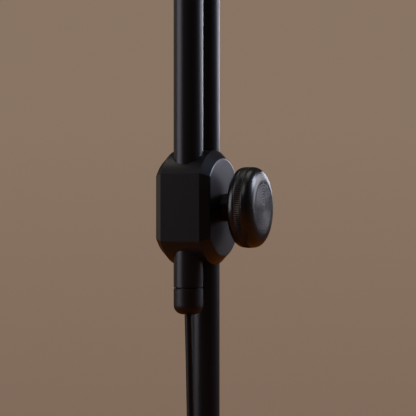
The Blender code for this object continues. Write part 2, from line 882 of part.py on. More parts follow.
def lamp_arm_line():
    """The bent arm's centre line from its lower hinge: up, round and forward."""
    centre = (-LAMP_BEND, LAMP_RISE)
    bend = arc(centre, LAMP_BEND, 0, LAMP_SWEEP, 14)
    turn = radians(LAMP_SWEEP)
    end = (bend[-1][0] - LAMP_REACH * sin(turn), bend[-1][1] + LAMP_REACH * cos(turn))
    return [(0.0, 0.0), *bend, end]


def make_lamp_bracket(desk):
    """The fork on the plate's back that the lamp's arm turns in."""
    y, z = PLATE_BACK + LAMP_HINGE[0], LAMP_HINGE[1]
    eye = 0.0055
    outline = [
        (PLATE_BACK + CLEAR, SPINE_TOP + 2 * CLEAR),
        (y - 0.001, SPINE_TOP + 2 * CLEAR),
        *arc((y, z), eye, 0, 180, 12),
        (PLATE_BACK + CLEAR, z - 0.014),
    ]
    bracket = extruded("lamp_bracket", outline, -FORK_W / 2, FORK_W / 2, "black_anodised", desk)
    slot = LAMP_ARM_T / 2 + CLEAR
    low = (-slot, y - 0.02, z - LAMP_ARM_HALF - 0.0015)
    boolean(bracket, block("bracket_slot", low, (slot, y + 0.02, z + 0.02), None, desk))
    boolean(bracket, rod("bracket_pin_hole", LAMP_PIN_R + CLEAR, -0.02, 0.02, None, desk, "X", (0, y, z), 20))
    half = FORK_W / 2 + 0.001
    rod("arm_pin", LAMP_PIN_R, -half, half, "bright_steel", desk, "X", (0, y, z), 20)


def make_lamp_arm(arm):
    """A flat bar bent over the plate's top edge, with a round eye at each end."""
    line = [Vector(p) for p in lamp_arm_line()]
    half = LAMP_ARM_HALF
    left, right = [], []
    for i, point in enumerate(line):
        before, after = line[max(i - 1, 0)], line[min(i + 1, len(line) - 1)]
        along = (after - before).normalized()
        across = Vector((-along.y, along.x)) * half
        left.append(point + across)
        right.append(point - across)
    turn = LAMP_SWEEP
    outline = [
        *arc(line[0], half, 180, 360, 10),
        *[tuple(p) for p in right[1:-1]],
        *arc(line[-1], half, turn, turn + 180, 10),
        *[tuple(p) for p in left[-2:0:-1]],
    ]
    bar = extruded("lamp_arm", outline, -LAMP_ARM_T / 2, LAMP_ARM_T / 2, "black_coat", arm)
    for label, at in (("lower", line[0]), ("upper", line[-1])):
        hole = rod(f"arm_hole_{label}", LAMP_PIN_R + RUN, -0.02, 0.02, None, arm, "X", (0, *at), 20)
        boolean(bar, hole)


def make_lamp(lamp):
    """The lamp bar: a channel with its board, diffuser, end caps, mount and switch."""
    eye = 0.0055
    foot = -LAMP_DROP + CLEAR
    outline = [(-0.009, foot), (0.009, foot), (0.009, foot + 0.003), *arc((0, 0), eye, 0, 180, 12)]
    outline.append((-0.009, foot + 0.003))
    mount = extruded("lamp_mount", outline, -FORK_W / 2, FORK_W / 2, "black_anodised", lamp)
    slot = LAMP_ARM_T / 2 + CLEAR
    low = (-slot, -0.02, foot + MOUNT_FLOOR)
    boolean(mount, block("mount_slot", low, (slot, 0.02, 0.02), None, lamp))
    boolean(mount, rod("mount_pin_hole", LAMP_PIN_R + CLEAR, -0.02, 0.02, None, lamp, "X", sides=20))
    half = FORK_W / 2 + 0.001
    rod("lamp_pin", LAMP_PIN_R, -half, half, "bright_steel", lamp, "X", sides=20)

    top = -LAMP_DROP
    low = top - LAMP_H
    side = LAMP_W / 2
    wall = LAMP_WALL
    shell = [
        (-side, low),
        (-side + wall, low),
        (-side + wall, top - wall),
        (side - wall, top - wall),
        (side - wall, low),
        (side, low),
        *arc((side - 0.003, top - 0.003), 0.003, 0, 90, 4),
        *arc((-side + 0.003, top - 0.003), 0.003, 90, 180, 4),
    ]
    reach = LAMP_L / 2
    body = extruded("lamp_body", shell, -reach, reach, "black_anodised", lamp)
    button_at = (BUTTON_X, 0, 0)
    hole_r = BUTTON_R + CLEAR
    boolean(body, rod("button_hole", hole_r, top - 0.005, top + 0.005, None, lamp, "Z", button_at, 32))

    board_top = top - wall - CLEAR
    room = side - wall - CLEAR
    board_end = BUTTON_X - BUTTON_R - 0.004
    half = room * 0.7
    corners = (-reach + 0.006, -half, board_top - 0.001), (board_end, half, board_top)
    block("led_board", *corners, "circuit_board", lamp)
    block("diffuser", (-reach + 0.001, -room, low), (reach - 0.001, room, low + 0.002), "opal", lamp)
    cap = [
        (-side, low),
        (side, low),
        *arc((side - 0.003, top - 0.003), 0.003, 0, 90, 4),
        *arc((-side + 0.003, top - 0.003), 0.003, 90, 180, 4),
    ]
    for label, start in (("left", -reach - CLEAR - 0.003), ("right", reach + CLEAR)):
        extruded(f"lamp_end_{label}", cap, start, start + 0.003, "black_plastic", lamp)
    switch_top = top - 0.0040 - BUTTON_TRAVEL - CLEAR
    low_corner = (BUTTON_X - 0.004, -0.004, low + 0.002 + CLEAR)
    block("switch_module", low_corner, (BUTTON_X + 0.004, 0.004, switch_top), "black_plastic", lamp)


def make_button(button):
    """The push button that stands through the lamp's top."""
    top = -LAMP_DROP
    turned(
        "lamp_button",
        [
            (0, top - 0.0040),
            (BUTTON_R, top - 0.0040),
            (BUTTON_R, top + BUTTON_PROUD - 0.0006),
            (BUTTON_R - 0.0006, top + BUTTON_PROUD),
            (0, top + BUTTON_PROUD),
        ],
        "black_plastic",
        button,
        sides=32,
    )


# Cord -------------------------------------------------------------------------------------------


def make_cord():
    """The supply cord from the mast's cap to its plug, the spare length coiled behind the base."""
    tube("cord_upper", CORD_UPPER, CORD_R, "cord_jacket")
    tube("cord_lower", CORD_LOWER, CORD_R, "cord_jacket")
    tube("cord_tail", CORD_TAIL, CORD_R, "cord_jacket", spacing=0.009)
    inner, outer = COIL_MID_R - COIL_HALF, COIL_MID_R + COIL_HALF
    ease = 0.003
    low, high = CLEAR, COIL_H
    turned(
        "cord_coil",
        [
            (inner, low + ease),
            (inner + ease, low),
            (outer - ease, low),
            (outer, low + ease),
            (outer, high - ease),
            (outer - ease, high),
            (inner + ease, high),
            (inner, high - ease),
        ],
        "cord_jacket",
        centre=(*COIL_CENTRE, 0),
        sides=28,
    )


def make_plug():
    """The low-voltage plug at the cord's end, lying on the floor."""
    at = (0, PLUG_Y, PLUG_Z)
    start = PLUG_BOOT_X
    body_start = start - PLUG_BOOT_L
    body_end = body_start - PLUG_BODY_L
    half_w, half_h = PLUG_BODY_W / 2, PLUG_BODY_H / 2
    bm = bmesh.new()
    rows = [
        (start, 0.0028, 0.0028),
        (body_start, 0.0040, 0.0034),
        (body_start - 0.002, half_w - 0.001, half_h - 0.0004),
        (body_start - 0.004, half_w, half_h),
        (body_end + 0.001, half_w, half_h),
        (body_end, half_w - 0.001, half_h - 0.001),
    ]
    loops = []
    for x, w, h in rows:
        corner = min(w, h) * 0.6
        outline = rounded_rectangle((-w, -h), (w, h), corner, 3)
        loops.append([bm.verts.new((x, at[1] + a, at[2] + b)) for a, b in outline])
    for a, b in zip(loops, loops[1:]):
        for i in range(len(a)):
            j = (i + 1) % len(a)
            bm.faces.new((a[i], a[j], b[j], b[i]))
    bm.faces.new(loops[0])
    bm.faces.new(loops[-1])
    piece("plug_body", bm, "black_plastic")

    length, width, height = PLUG_SHELL
    face = body_end - CLEAR
    wall = PLUG_SHELL_WALL
    low = (face - length, at[1] - width / 2, at[2] - height / 2)
    high = (face, at[1] + width / 2, at[2] + height / 2)
    shell = block("plug_shell", low, high, "bright_steel")
    hollow_low = (low[0] - 0.002, low[1] + wall, low[2] + wall)
    hollow_high = (high[0] - wall, high[1] - wall, high[2] - wall)
    boolean(shell, block("plug_hollow", hollow_low, hollow_high))
    gap = wall + CLEAR
    block(
        "plug_tongue",
        (low[0] + 0.001, low[1] + gap, at[2] + CLEAR),
        (high[0] - gap, high[1] - gap, high[2] - gap),
        "black_plastic",
    )


def main():
    """Builds the whole stand."""
    clear_scene()
    make_base()
    clamp = empty("clamp_axis", (0, 0, CLAMP_Z))
    make_clamp(clamp)
    shoe = empty("shoe_axis", (0, 0, CLAMP_Z))
    make_shoe(shoe)
    knob = empty("knob_axis", (0, 0, CLAMP_Z))
    make_knob(knob)
    mast = empty("mast_axis", (0, MAST_Y, 0))
    make_mast(mast)
    swivel = empty("swivel_axis", (0, MAST_Y, HINGE_Z))
    make_swivel(swivel)

    desk = empty("tilt_axis", (0, MAST_Y, HINGE_Z), tilt=-DESK_LEAN)
    plate = make_desk(desk)
    for side, x in (("left", -ARM_X), ("right", ARM_X)):
        make_rivet(desk, plate, side, x)
        pivot = empty(f"page_arm_axis_{side}", (x, page_arm_y(), ARM_PIVOT_Z), desk)
        make_page_arm(pivot, side)
    make_lamp_bracket(desk)
    arm = empty("lamp_arm_axis", (0, PLATE_BACK + LAMP_HINGE[0], LAMP_HINGE[1]), desk)
    make_lamp_arm(arm)
    lamp = empty("lamp_axis", (0, *lamp_arm_line()[-1]), arm, LAMP_AIM)
    make_lamp(lamp)
    button = empty("button_axis", (BUTTON_X, 0, 0), lamp)
    make_button(button)
    make_cord()
    make_plug()
    bpy.context.view_layer.update()


main()
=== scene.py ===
"""Finished pieces of a floor-standing music stand with a reading lamp.

The stand's frame is loaded first. Each operator then models one piece, or one group of like
pieces, in the frame's place and at its size, gives it its finish and sets it to move with its body.

Lengths are in metres, +Z is up, and the player stands on the -Y side.
"""

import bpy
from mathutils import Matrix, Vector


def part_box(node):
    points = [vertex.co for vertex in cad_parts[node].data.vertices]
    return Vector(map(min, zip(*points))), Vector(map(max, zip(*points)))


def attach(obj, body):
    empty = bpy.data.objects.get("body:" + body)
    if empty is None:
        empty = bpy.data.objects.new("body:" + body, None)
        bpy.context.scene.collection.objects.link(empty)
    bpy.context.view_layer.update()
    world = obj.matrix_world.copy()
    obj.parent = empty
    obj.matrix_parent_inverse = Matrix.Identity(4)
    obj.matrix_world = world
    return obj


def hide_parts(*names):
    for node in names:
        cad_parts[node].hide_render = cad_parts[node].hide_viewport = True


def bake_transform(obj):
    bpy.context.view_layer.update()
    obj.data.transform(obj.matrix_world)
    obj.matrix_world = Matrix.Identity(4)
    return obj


bl_info = {
    "name": "Music Stand Pieces",
    "version": (1, 0, 0),
    "blender": (4, 5, 0),
    "location": "3D View > Sidebar > Music Stand",
    "description": "Models the finished pieces of a music stand with a reading lamp",
    "category": "Object",
}

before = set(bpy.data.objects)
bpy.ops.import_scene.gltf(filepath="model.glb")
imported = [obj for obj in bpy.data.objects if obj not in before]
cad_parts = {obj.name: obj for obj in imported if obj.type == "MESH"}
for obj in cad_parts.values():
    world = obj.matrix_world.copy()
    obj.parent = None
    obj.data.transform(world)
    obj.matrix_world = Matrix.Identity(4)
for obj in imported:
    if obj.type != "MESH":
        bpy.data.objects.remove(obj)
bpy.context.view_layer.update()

from math import cos, pi, radians, sin, tan

import bmesh
import bpy
from bpy.props import FloatProperty, FloatVectorProperty, IntProperty, PointerProperty
from bpy.types import Operator, Panel, PropertyGroup
from mathutils import Vector


# Measures of the frame --------------------------------------------------------------------------


def size(node):
    """A frame node's extent along X, Y and Z."""
    low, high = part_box(node)
    return high - low


def middle(node):
    """The centre of a frame node's box."""
    low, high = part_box(node)
    return (low + high) / 2


CLAMP = middle("clamp_block")
TUBE_R = size("mast_tube").x / 2
TUBE_WALL = 0.0015
TUBE_RUN = 0.00015  # a tube's gap in its bore
GAP = 0.0003  # between pieces that touch
INSERT_R = TUBE_R - TUBE_WALL - GAP  # of the part of a cap that goes inside its tube
MAST_Y = middle("mast_tube").y
POST_Y = middle("rear_post").y
HINGE = Vector((0, MAST_Y, middle("tilt_bolt").z))
DESK_LEAN = radians(20)
LAMP_AXIS = middle("lamp_pin")
LAMP_LEAN = radians(3.5)
MICRON = 1e-6
NEAR = 1e-5  # closer than this counts as the same place
TO_X = (0, pi / 2, 0)
TO_Y = (-pi / 2, 0, 0)


# Colours and sizes that a user would change -----------------------------------------------------


def linear(code):
    """An sRGB hex colour as linear red, green and blue."""
    parts = [int(code[i : i + 2], 16) / 255 for i in (1, 3, 5)]
    return tuple(c / 12.92 if c <= 0.04045 else ((c + 0.055) / 1.055) ** 2.4 for c in parts)


def colour(name, description, code):
    """A colour property with a hex default."""
    return FloatVectorProperty(
        name=name,
        description=description,
        default=linear(code),
        subtype="COLOR",
        size=3,
        min=0,
        max=1,
    )


def distance(name, description, default):
    """A length property."""
    return FloatProperty(
        name=name, description=description, default=default, min=0, unit="LENGTH", precision=5
    )


class StandColours(PropertyGroup):
    """The colours of the stand's finishes and of the studio."""

    coat: colour("Powder coat", "Satin black polyester powder on steel and castings", "#161619")
    coat_fleck: colour("Powder fleck", "The slightly paler grains in the powder coat", "#222226")
    anodised: colour("Anodised", "Black anodised aluminium", "#17171A")
    plastic: colour("Plastic", "Moulded black nylon", "#141416")
    jacket: colour("Cord jacket", "Black PVC jacket of the cord", "#111113")
    steel: colour("Steel", "Zinc-plated steel", "#C4C6C9")
    brass: colour("Brass", "Free-cutting brass", "#D9B36A")
    felt: colour("Felt", "Wool felt under the base", "#2A2A2E")
    opal: colour("Opal", "Opal acrylic of the diffuser", "#F1EEE6")
    board: colour("Board", "White solder mask of the lamp's board", "#E8E9E3")
    floor: colour("Floor", "Plain pale floor", "#D8D1C8")
    backdrop: colour("Backdrop", "Plain backdrop behind the stand", "#8B7665")
    backdrop_low: colour("Backdrop below", "The backdrop lower down, where less light falls", "#806B5C")


class StandSizes(PropertyGroup):
    """The sizes of details that the frame leaves open."""

    chamfer: distance("Clamp chamfer", "Chamfer round both ends of the clamp block", 0.0046)
    clamp_edge: distance("Clamp edge", "Rounding of the clamp block's edges", 0.00035)
    clamp_fillet: distance("Clamp fillet", "Rounding between the clamp's chamfers and its ends", 0.0012)
    knob_back_r: distance("Knob back", "Radius of the knob's back face", 0.0183)
    knob_face_r: distance("Knob face", "Radius of the knob's front face", 0.0144)
    band_start: distance("Band start", "Clamp axis to the back of the knob's knurled band", 0.0285)
    band_end: distance("Band end", "Clamp axis to the front of the knob's knurled band", 0.0331)
    teeth: IntProperty(name="Teeth", description="Teeth round the knob", default=120, min=12)
    tooth_depth: distance("Tooth depth", "Depth of the knob's knurling", 0.00032)
    groove_pitch: distance("Groove pitch", "Distance between the grooves in the knob's face", 0.0015)
    groove_depth: distance("Groove depth", "Depth of the grooves in the knob's face", 0.00009)
    cap_seam: distance("Cap seam", "Gap between the mast and its end cap", 0.0004)
    cap_round: distance("Cap rounding", "Rounding of the mast cap's lower edge", 0.005)
    base_edge: distance("Base edge", "Rounding of the base's upper edge", 0.004)
    plate_corner: distance("Desk corner", "Corner radius of the desk plate", 0.024)


class StandStudio(PropertyGroup):
    """The camera and the lights."""

    azimuth: FloatProperty(
        name="Azimuth",
        description="Camera's turn round the stand",
        default=radians(20.9),
        subtype="ANGLE",
    )
    camera_distance: distance("Camera distance", "Camera to the clamp's axis", 0.88)
    lens: FloatProperty(name="Lens", description="Focal length in millimetres", default=138.5, min=1)
    floor_radius: distance("Floor radius", "Radius of the round floor", 3.4)


class StandSettings(PropertyGroup):
    """All of the stand's settings."""

    colours: PointerProperty(type=StandColours, name="Colours", description="Finishes and studio")
    sizes: PointerProperty(type=StandSizes, name="Sizes", description="Sizes of details")
    studio: PointerProperty(type=StandStudio, name="Studio", description="Camera and lights")


def settings():
    """The stand's settings in this scene."""
    return bpy.context.scene.music_stand


# Modelling --------------------------------------------------------------------------------------

FLAT = radians(0.3)  # faces that a cut has split count as one flat face below this angle
FRAME_FLAT = radians(0.5)  # the same for a frame node's loose triangles


def deselect_all():
    """Leaves nothing selected, so that the next operator acts on one piece only."""
    if bpy.context.mode != "OBJECT":
        bpy.ops.object.mode_set(mode="OBJECT")
    bpy.ops.object.select_all(action="DESELECT")


def take(piece):
    """Selects one piece alone and makes it the active one."""
    deselect_all()
    piece.select_set(True)
    bpy.context.view_layer.objects.active = piece
    return piece


def edit(kind="FACE", action="SELECT"):
    """Goes into edit mode on the active piece, with all or nothing selected."""
    bpy.ops.object.mode_set(mode="EDIT")
    bpy.ops.mesh.select_mode(type=kind)
    bpy.ops.mesh.select_all(action=action)


def pick(kind, wanted):
    """In edit mode, selects only the vertices, edges or faces that wanted() names."""
    bpy.ops.mesh.select_mode(type=kind)
    bpy.ops.mesh.select_all(action="DESELECT")
    data = bpy.context.object.data
    mesh = bmesh.from_edit_mesh(data)
    items = {"VERT": mesh.verts, "EDGE": mesh.edges, "FACE": mesh.faces}[kind]
    for item in items:
        if wanted(item):
            item.select_set(True)
    mesh.select_flush_mode()
    bmesh.update_edit_mesh(data)


def settle_mesh(merge=1e-6):
    """In edit mode, merges points that meet, turns the faces out and leaves edit mode."""
    bpy.ops.mesh.select_all(action="SELECT")
    bpy.ops.mesh.remove_doubles(threshold=merge)
    bpy.ops.mesh.normals_make_consistent(inside=False)
    if bmesh.from_edit_mesh(bpy.context.object.data).calc_volume(signed=True) < 0:
        bpy.ops.mesh.flip_normals()
    bpy.ops.object.mode_set(mode="OBJECT")


def place(piece, location=(0, 0, 0), turn=(0, 0, 0)):
    """Puts a piece in its place and keeps that place in its mesh."""
    take(piece)
    piece.location = location
    piece.rotation_euler = turn
    bpy.ops.object.transform_apply(location=True, rotation=True, scale=True)
    return piece


def turn_up(name, outline, sides, bored=False):
    """A round piece about Z: a circle drawn through (radius, height) points by extrude and resize.

    A bored piece's outline comes back to where it began. Any other ends in two flat faces.
    """
    deselect_all()
    radius, height = outline[0]
    bpy.ops.mesh.primitive_circle_add(vertices=sides, radius=radius, location=(0, 0, height))
    piece = bpy.context.object
    piece.name = name
    bpy.ops.object.transform_apply(location=True, rotation=True, scale=True)
    edit("EDGE")
    for next_radius, next_height in outline[1:]:
        rise = (0, 0, next_height - height)
        bpy.ops.mesh.extrude_edges_move(TRANSFORM_OT_translate={"value": rise})
        if next_radius != radius:
            grow = next_radius / radius
            bpy.ops.transform.resize(value=(grow, grow, 1), center_override=(0, 0, 0))
        radius, height = next_radius, next_height
    if not bored:
        bpy.ops.mesh.select_all(action="SELECT")
        bpy.ops.mesh.fill_holes(sides=0)
    settle_mesh()
    return piece


def quarter(steps):
    """Even angles over a quarter turn."""
    return [pi / 2 * i / steps for i in range(steps + 1)]


def round_corner(radius, height, corner, steps=5):
    """Outline points round a quarter circle, from a side at that radius up to a flat top."""
    return [
        (radius - corner * (1 - cos(t)), height - corner * (1 - sin(t))) for t in quarter(steps)
    ]


def slab(name, low, high, corner, across="Z", steps=8):
    """A flat piece between two corners, with its outline's four corners rounded."""
    low, high = Vector(low), Vector(high)
    deselect_all()
    bpy.ops.mesh.primitive_cube_add(size=1, location=(low + high) / 2, scale=high - low)
    piece = bpy.context.object
    piece.name = name
    bpy.ops.object.transform_apply(location=True, rotation=True, scale=True)
    if corner:
        axis = "XYZ".index(across)
        edit("EDGE")

        def runs_across(edge):
            along = edge.verts[0].co - edge.verts[1].co
            return abs(along[axis]) > 0.99 * along.length

        pick("EDGE", runs_across)
        bpy.ops.mesh.bevel(offset=corner, segments=steps, affect="EDGES")
        settle_mesh()
    return piece


def apply(piece, kind, **values):
    """Adds a modifier to a piece and applies it."""
    take(piece)
    modifier = piece.modifiers.new(kind.title(), kind)
    for name, value in values.items():
        setattr(modifier, name, value)
    bpy.ops.object.modifier_apply(modifier=modifier.name)
    return piece


def cut(piece, cutter):
    """Cuts one piece from another and removes the cutter."""
    apply(piece, "BOOLEAN", operation="DIFFERENCE", solver="MANIFOLD", object=cutter)
    bpy.data.objects.remove(cutter)
    take(piece)
    edit()
    bpy.ops.mesh.dissolve_limited(angle_limit=FLAT)
    settle_mesh()
    return piece


def drill(piece, radius, start, end, sides=64):
    """Cuts a round hole from one point to another."""
    start, end = Vector(start), Vector(end)
    turn = (end - start).to_track_quat("Z", "Y").to_euler()
    deselect_all()
    bpy.ops.mesh.primitive_cylinder_add(
        vertices=sides,
        radius=radius,
        depth=(end - start).length,
        location=(start + end) / 2,
        rotation=turn,
    )
    return cut(piece, bpy.context.object)


def round_edges(piece, width, segments=3, angle=30.0):
    """Rounds the edges sharper than an angle."""
    return apply(
        piece,
        "BEVEL",
        width=width,
        segments=segments,
        limit_method="ANGLE",
        angle_limit=radians(angle),
        use_clamp_overlap=True,
    )


def smooth(piece, angle=30.0):
    """Shades round faces smooth and keeps large flat ones flat."""
    take(piece)
    bpy.ops.object.shade_smooth_by_angle(angle=radians(angle))
    return apply(piece, "WEIGHTED_NORMAL", weight=80, keep_sharp=True)


def copy_of(node, name):
    """A merged copy of a frame node with its flat faces whole."""
    piece = bpy.data.objects.new(name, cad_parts[node].data.copy())
    bpy.context.scene.collection.objects.link(piece)
    take(piece)
    bpy.ops.mesh.customdata_custom_splitnormals_clear()
    edit("FACE")
    bpy.ops.mesh.remove_doubles(threshold=1e-6)
    bpy.ops.mesh.dissolve_limited(angle_limit=FRAME_FLAT)
    settle_mesh()
    return piece


def coat(piece, look):
    """Gives a piece one finish all over."""
    piece.data.materials.clear()
    piece.data.materials.append(finish(look))


def hand_over(piece, look, slot, body, *nodes):
    """Gives a finished piece its finish, its body and the frame nodes that it stands for."""
    coat(piece, look)
    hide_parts(*nodes)
    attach(piece, body)
    return piece


def round_off(pieces):
    """Copies frame nodes, rounds their edges and hands them over, one for each row of a list."""
    for node, name, look, slot, body, edge in pieces:
        piece = copy_of(node, name)
        round_edges(piece, edge, 3, 40)
        smooth(piece)
        hand_over(piece, look, slot, body, node)


def both(name):
    """The names of a left and a right node."""
    return [f"{name}_left", f"{name}_right"]


# Finishes ---------------------------------------------------------------------------------------

NOISE_SPREAD = (0.3, 0.7)  # nearly all of a noise pattern's values lie between these


def add(tree, kind, inputs=None, **values):
    """Adds a node, sets its settings, and fills its inputs with values or links."""
    node = tree.nodes.new(kind)
    for name, value in values.items():
        setattr(node, name, value)
    for key, value in (inputs or {}).items():
        if isinstance(value, bpy.types.NodeSocket):
            tree.links.new(value, node.inputs[key])
        else:
            node.inputs[key].default_value = value
    return node


def per_mm(millimetres):
    """The texture scale whose grain is that many millimetres across."""
    return 1000 / millimetres


def toned(base, share):
    """A colour with its brightness multiplied."""
    return tuple(c * share for c in base)


def new_finish(name, base, roughness, grains, **sockets):
    """A new material, its shader, and a noise pattern for each (millimetres, detail) of its grains.

    The other sockets are the same all over. The base colour and roughness are its plain values,
    which tint and dull then let a pattern vary.
    """
    made = bpy.data.materials.new(name)
    made.use_nodes = True
    tree = made.node_tree
    shader = tree.nodes["Principled BSDF"]
    shader.inputs["Base Color"].default_value = (*base, 1)
    shader.inputs["Roughness"].default_value = roughness
    for key, value in sockets.items():
        shader.inputs[key.replace("_", " ")].default_value = value
    where = add(tree, "ShaderNodeTexCoord").outputs["Object"]
    patterns = []
    for millimetres, detail in grains:
        inputs = {"Vector": where, "Scale": per_mm(millimetres), "Detail": detail}
        patterns.append(add(tree, "ShaderNodeTexNoise", inputs).outputs["Fac"])
    return made, shader, *patterns


def blend(tree, pattern, low, high, spread):
    """A colour that runs from low to high as a pattern goes over its spread of values."""
    inputs = {"Value": pattern, "From Min": spread[0], "From Max": spread[1]}
    share = add(tree, "ShaderNodeMapRange", inputs).outputs["Result"]
    ends = {0: share, 6: (*low, 1), 7: (*high, 1)}
    return add(tree, "ShaderNodeMix", ends, data_type="RGBA").outputs[2]


def tint(shader, pattern, low, high, spread=NOISE_SPREAD):
    """Lets a finish's colour follow a pattern."""
    tree = shader.id_data
    tree.links.new(blend(tree, pattern, low, high, spread), shader.inputs["Base Color"])


def dull(shader, pattern, low, high):
    """Lets a finish's roughness follow a pattern."""
    tree, (start, end) = shader.id_data, NOISE_SPREAD
    inputs = {"Value": pattern, "From Min": start, "From Max": end, "To Min": low, "To Max": high}
    share = add(tree, "ShaderNodeMapRange", inputs).outputs["Result"]
    tree.links.new(share, shader.inputs["Roughness"])


def relief(shader, *layers):
    """Gives a finish a bump for each (pattern, microns), laid over the ones before it."""
    tree, laid = shader.id_data, {}
    for pattern, microns in layers:
        inputs = {"Height": pattern, "Distance": microns * MICRON, "Strength": 1.0, **laid}
        laid = {"Normal": add(tree, "ShaderNodeBump", inputs).outputs["Normal"]}
    tree.links.new(laid["Normal"], shader.inputs["Normal"])


def powder_coat(name, flow_mm, flow_microns):
    """Polyester powder baked on metal: it flows out to a faint orange peel with fine grains in it."""
    colours = settings().colours
    made, shader, fleck, flow = new_finish(
        name, colours.coat, 0.30, [(0.35, 4.0), (flow_mm, 2.0)], IOR=1.5
    )
    tint(shader, fleck, colours.coat, colours.coat_fleck)
    dull(shader, fleck, 0.30, 0.38)
    relief(shader, (flow, flow_microns), (fleck, 6))
    return made


def satin_powder_coat():
    """Smooth powder coat on drawn tube: a satin black that draws long clean highlights."""
    return powder_coat("satin_powder_coat", 1.6, 12)


def textured_powder_coat():
    """Fine-textured powder coat on a casting: its ripple is closer than on the tubes."""
    return powder_coat("textured_powder_coat", 0.7, 10)


def black_anodised_aluminium():
    """Turned and blasted aluminium, anodised black: a smooth oxide skin with a cool sheen."""
    black = settings().colours.anodised
    made, shader, blast = new_finish(
        "black_anodised_aluminium", black, 0.33, [(0.22, 3.0)], IOR=1.65
    )
    tint(shader, blast, toned(black, 0.8), toned(black, 1.3))
    dull(shader, blast, 0.29, 0.38)
    relief(shader, (blast, 4))
    return made


def turned_anodised_aluminium():
    """Aluminium faced on a lathe and anodised black: fine rings round the knob's axis.

    The tool's feed marks are drawn 0.4 mm apart, about twice the real pitch, so that they show.
    """
    black, feed = settings().colours.anodised, 0.0004
    made, shader, blast = new_finish(
        "turned_anodised_aluminium", black, 0.30, [(0.25, 3.0)], IOR=1.65
    )
    tint(shader, blast, toned(black, 0.85), toned(black, 1.25))
    dull(shader, blast, 0.25, 0.31)
    tree = made.node_tree
    where = add(tree, "ShaderNodeTexCoord").outputs["Object"]
    centred = add(tree, "ShaderNodeMapping", {"Vector": where, "Location": (0, 0, -CLAMP.z)})
    inputs = {"Vector": centred.outputs["Vector"], "Scale": waves_per(feed), "Distortion": 0.0}
    rings = add(tree, "ShaderNodeTexWave", inputs, wave_type="RINGS", rings_direction="X")
    relief(shader, (rings.outputs["Fac"], 1.5), (blast, 3))
    return made


def waves_per(pitch):
    """The wave texture's scale for waves that are a pitch apart."""
    return 2 * pi / (20 * pitch)


def moulded_nylon():
    """Injection-moulded nylon: dull black with a fine spark-eroded grain."""
    black = settings().colours.plastic
    made, shader, spark = new_finish("moulded_nylon", black, 0.42, [(0.18, 3.0)], IOR=1.53)
    tint(shader, spark, toned(black, 0.8), toned(black, 1.3))
    dull(shader, spark, 0.38, 0.48)
    relief(shader, (spark, 8))
    return made


def pvc_jacket():
    """Extruded PVC: soft black with a waxy sheen and a slight ripple along the cord."""
    black = settings().colours.jacket
    made, shader, ripple, dust = new_finish(
        "pvc_jacket", black, 0.40, [(2.5, 2.0), (0.3, 3.0)], IOR=1.53
    )
    tint(shader, dust, toned(black, 0.85), toned(black, 1.3))
    dull(shader, ripple, 0.36, 0.46)
    relief(shader, (ripple, 30), (dust, 4))
    return made


def zinc_plated_steel():
    """Zinc-plated steel: a bright, slightly milky plate over fine machining marks."""
    steel = settings().colours.steel
    made, shader, cloud, marks = new_finish(
        "zinc_plated_steel", steel, 0.28, [(3.5, 2.0), (0.2, 3.0)], Metallic=1.0
    )
    tint(shader, cloud, toned(steel, 0.93), steel)
    dull(shader, cloud, 0.25, 0.30)
    relief(shader, (marks, 4))
    return made


def free_cutting_brass():
    """Free-cutting brass: warm yellow metal with soft tarnish in it."""
    brass = settings().colours.brass
    made, shader, cloud = new_finish("free_cutting_brass", brass, 0.30, [(1.5, 2.0)], Metallic=1.0)
    tint(shader, cloud, toned(brass, 0.75), brass)
    dull(shader, cloud, 0.25, 0.38)
    return made


def wool_felt():
    """Pressed wool felt: matt, dark and full of short fibres."""
    felt = settings().colours.felt
    made, shader, fibre = new_finish("wool_felt", felt, 0.95, [(0.5, 6.0)], Sheen_Weight=0.3)
    tint(shader, fibre, toned(felt, 0.6), toned(felt, 1.6))
    relief(shader, (fibre, 200))
    return made


def opal_acrylic():
    """Extruded opal acrylic: milky white that lets light soak a little way in."""
    opal = settings().colours.opal
    soak = {"Subsurface_Weight": 0.25, "Subsurface_Radius": (0.002, 0.002, 0.0018)}
    made, shader, haze = new_finish("opal_acrylic", opal, 0.35, [(3.0, 2.0)], IOR=1.49, **soak)
    tint(shader, haze, toned(opal, 0.94), opal)
    dull(shader, haze, 0.32, 0.40)
    return made


def white_solder_mask():
    """White solder mask over copper: glossy white with faint tracks under it."""
    white, pitch = settings().colours.board, 0.005236
    made, shader = new_finish("white_solder_mask", white, 0.35, [])
    tree = made.node_tree
    where = add(tree, "ShaderNodeTexCoord").outputs["Object"]
    inputs = {"Vector": where, "Scale": waves_per(pitch)}
    tracks = add(tree, "ShaderNodeTexWave", inputs, bands_direction="X").outputs["Fac"]
    tint(shader, tracks, toned(white, 0.86), white, (0, 1))
    return made


def matt_floor_paint():
    """Matt floor paint: plain and pale, with a barely uneven tone."""
    pale = settings().colours.floor
    made, shader, cloud = new_finish("matt_floor_paint", pale, 0.75, [(400, 2.0)])
    tint(shader, cloud, toned(pale, 0.97), pale)
    return made


MAKERS = (
    satin_powder_coat,
    textured_powder_coat,
    black_anodised_aluminium,
    turned_anodised_aluminium,
    moulded_nylon,
    pvc_jacket,
    zinc_plated_steel,
    free_cutting_brass,
    wool_felt,
    opal_acrylic,
    white_solder_mask,
    matt_floor_paint,
)
FINISHES = {maker.__name__: maker for maker in MAKERS}

# The finishes that most pieces have, each with its slot
COAT = ("satin_powder_coat", "black_coat")
ANODISED = ("black_anodised_aluminium", "black_anodised")
NYLON = ("moulded_nylon", "black_plastic")
STEEL = ("zinc_plated_steel", "bright_steel")


def finish(name):
    """A finish by name, made when it is first asked for."""
    return bpy.data.materials.get(name) or FINISHES[name]()


# Camera -----------------------------------------------------------------------------------------


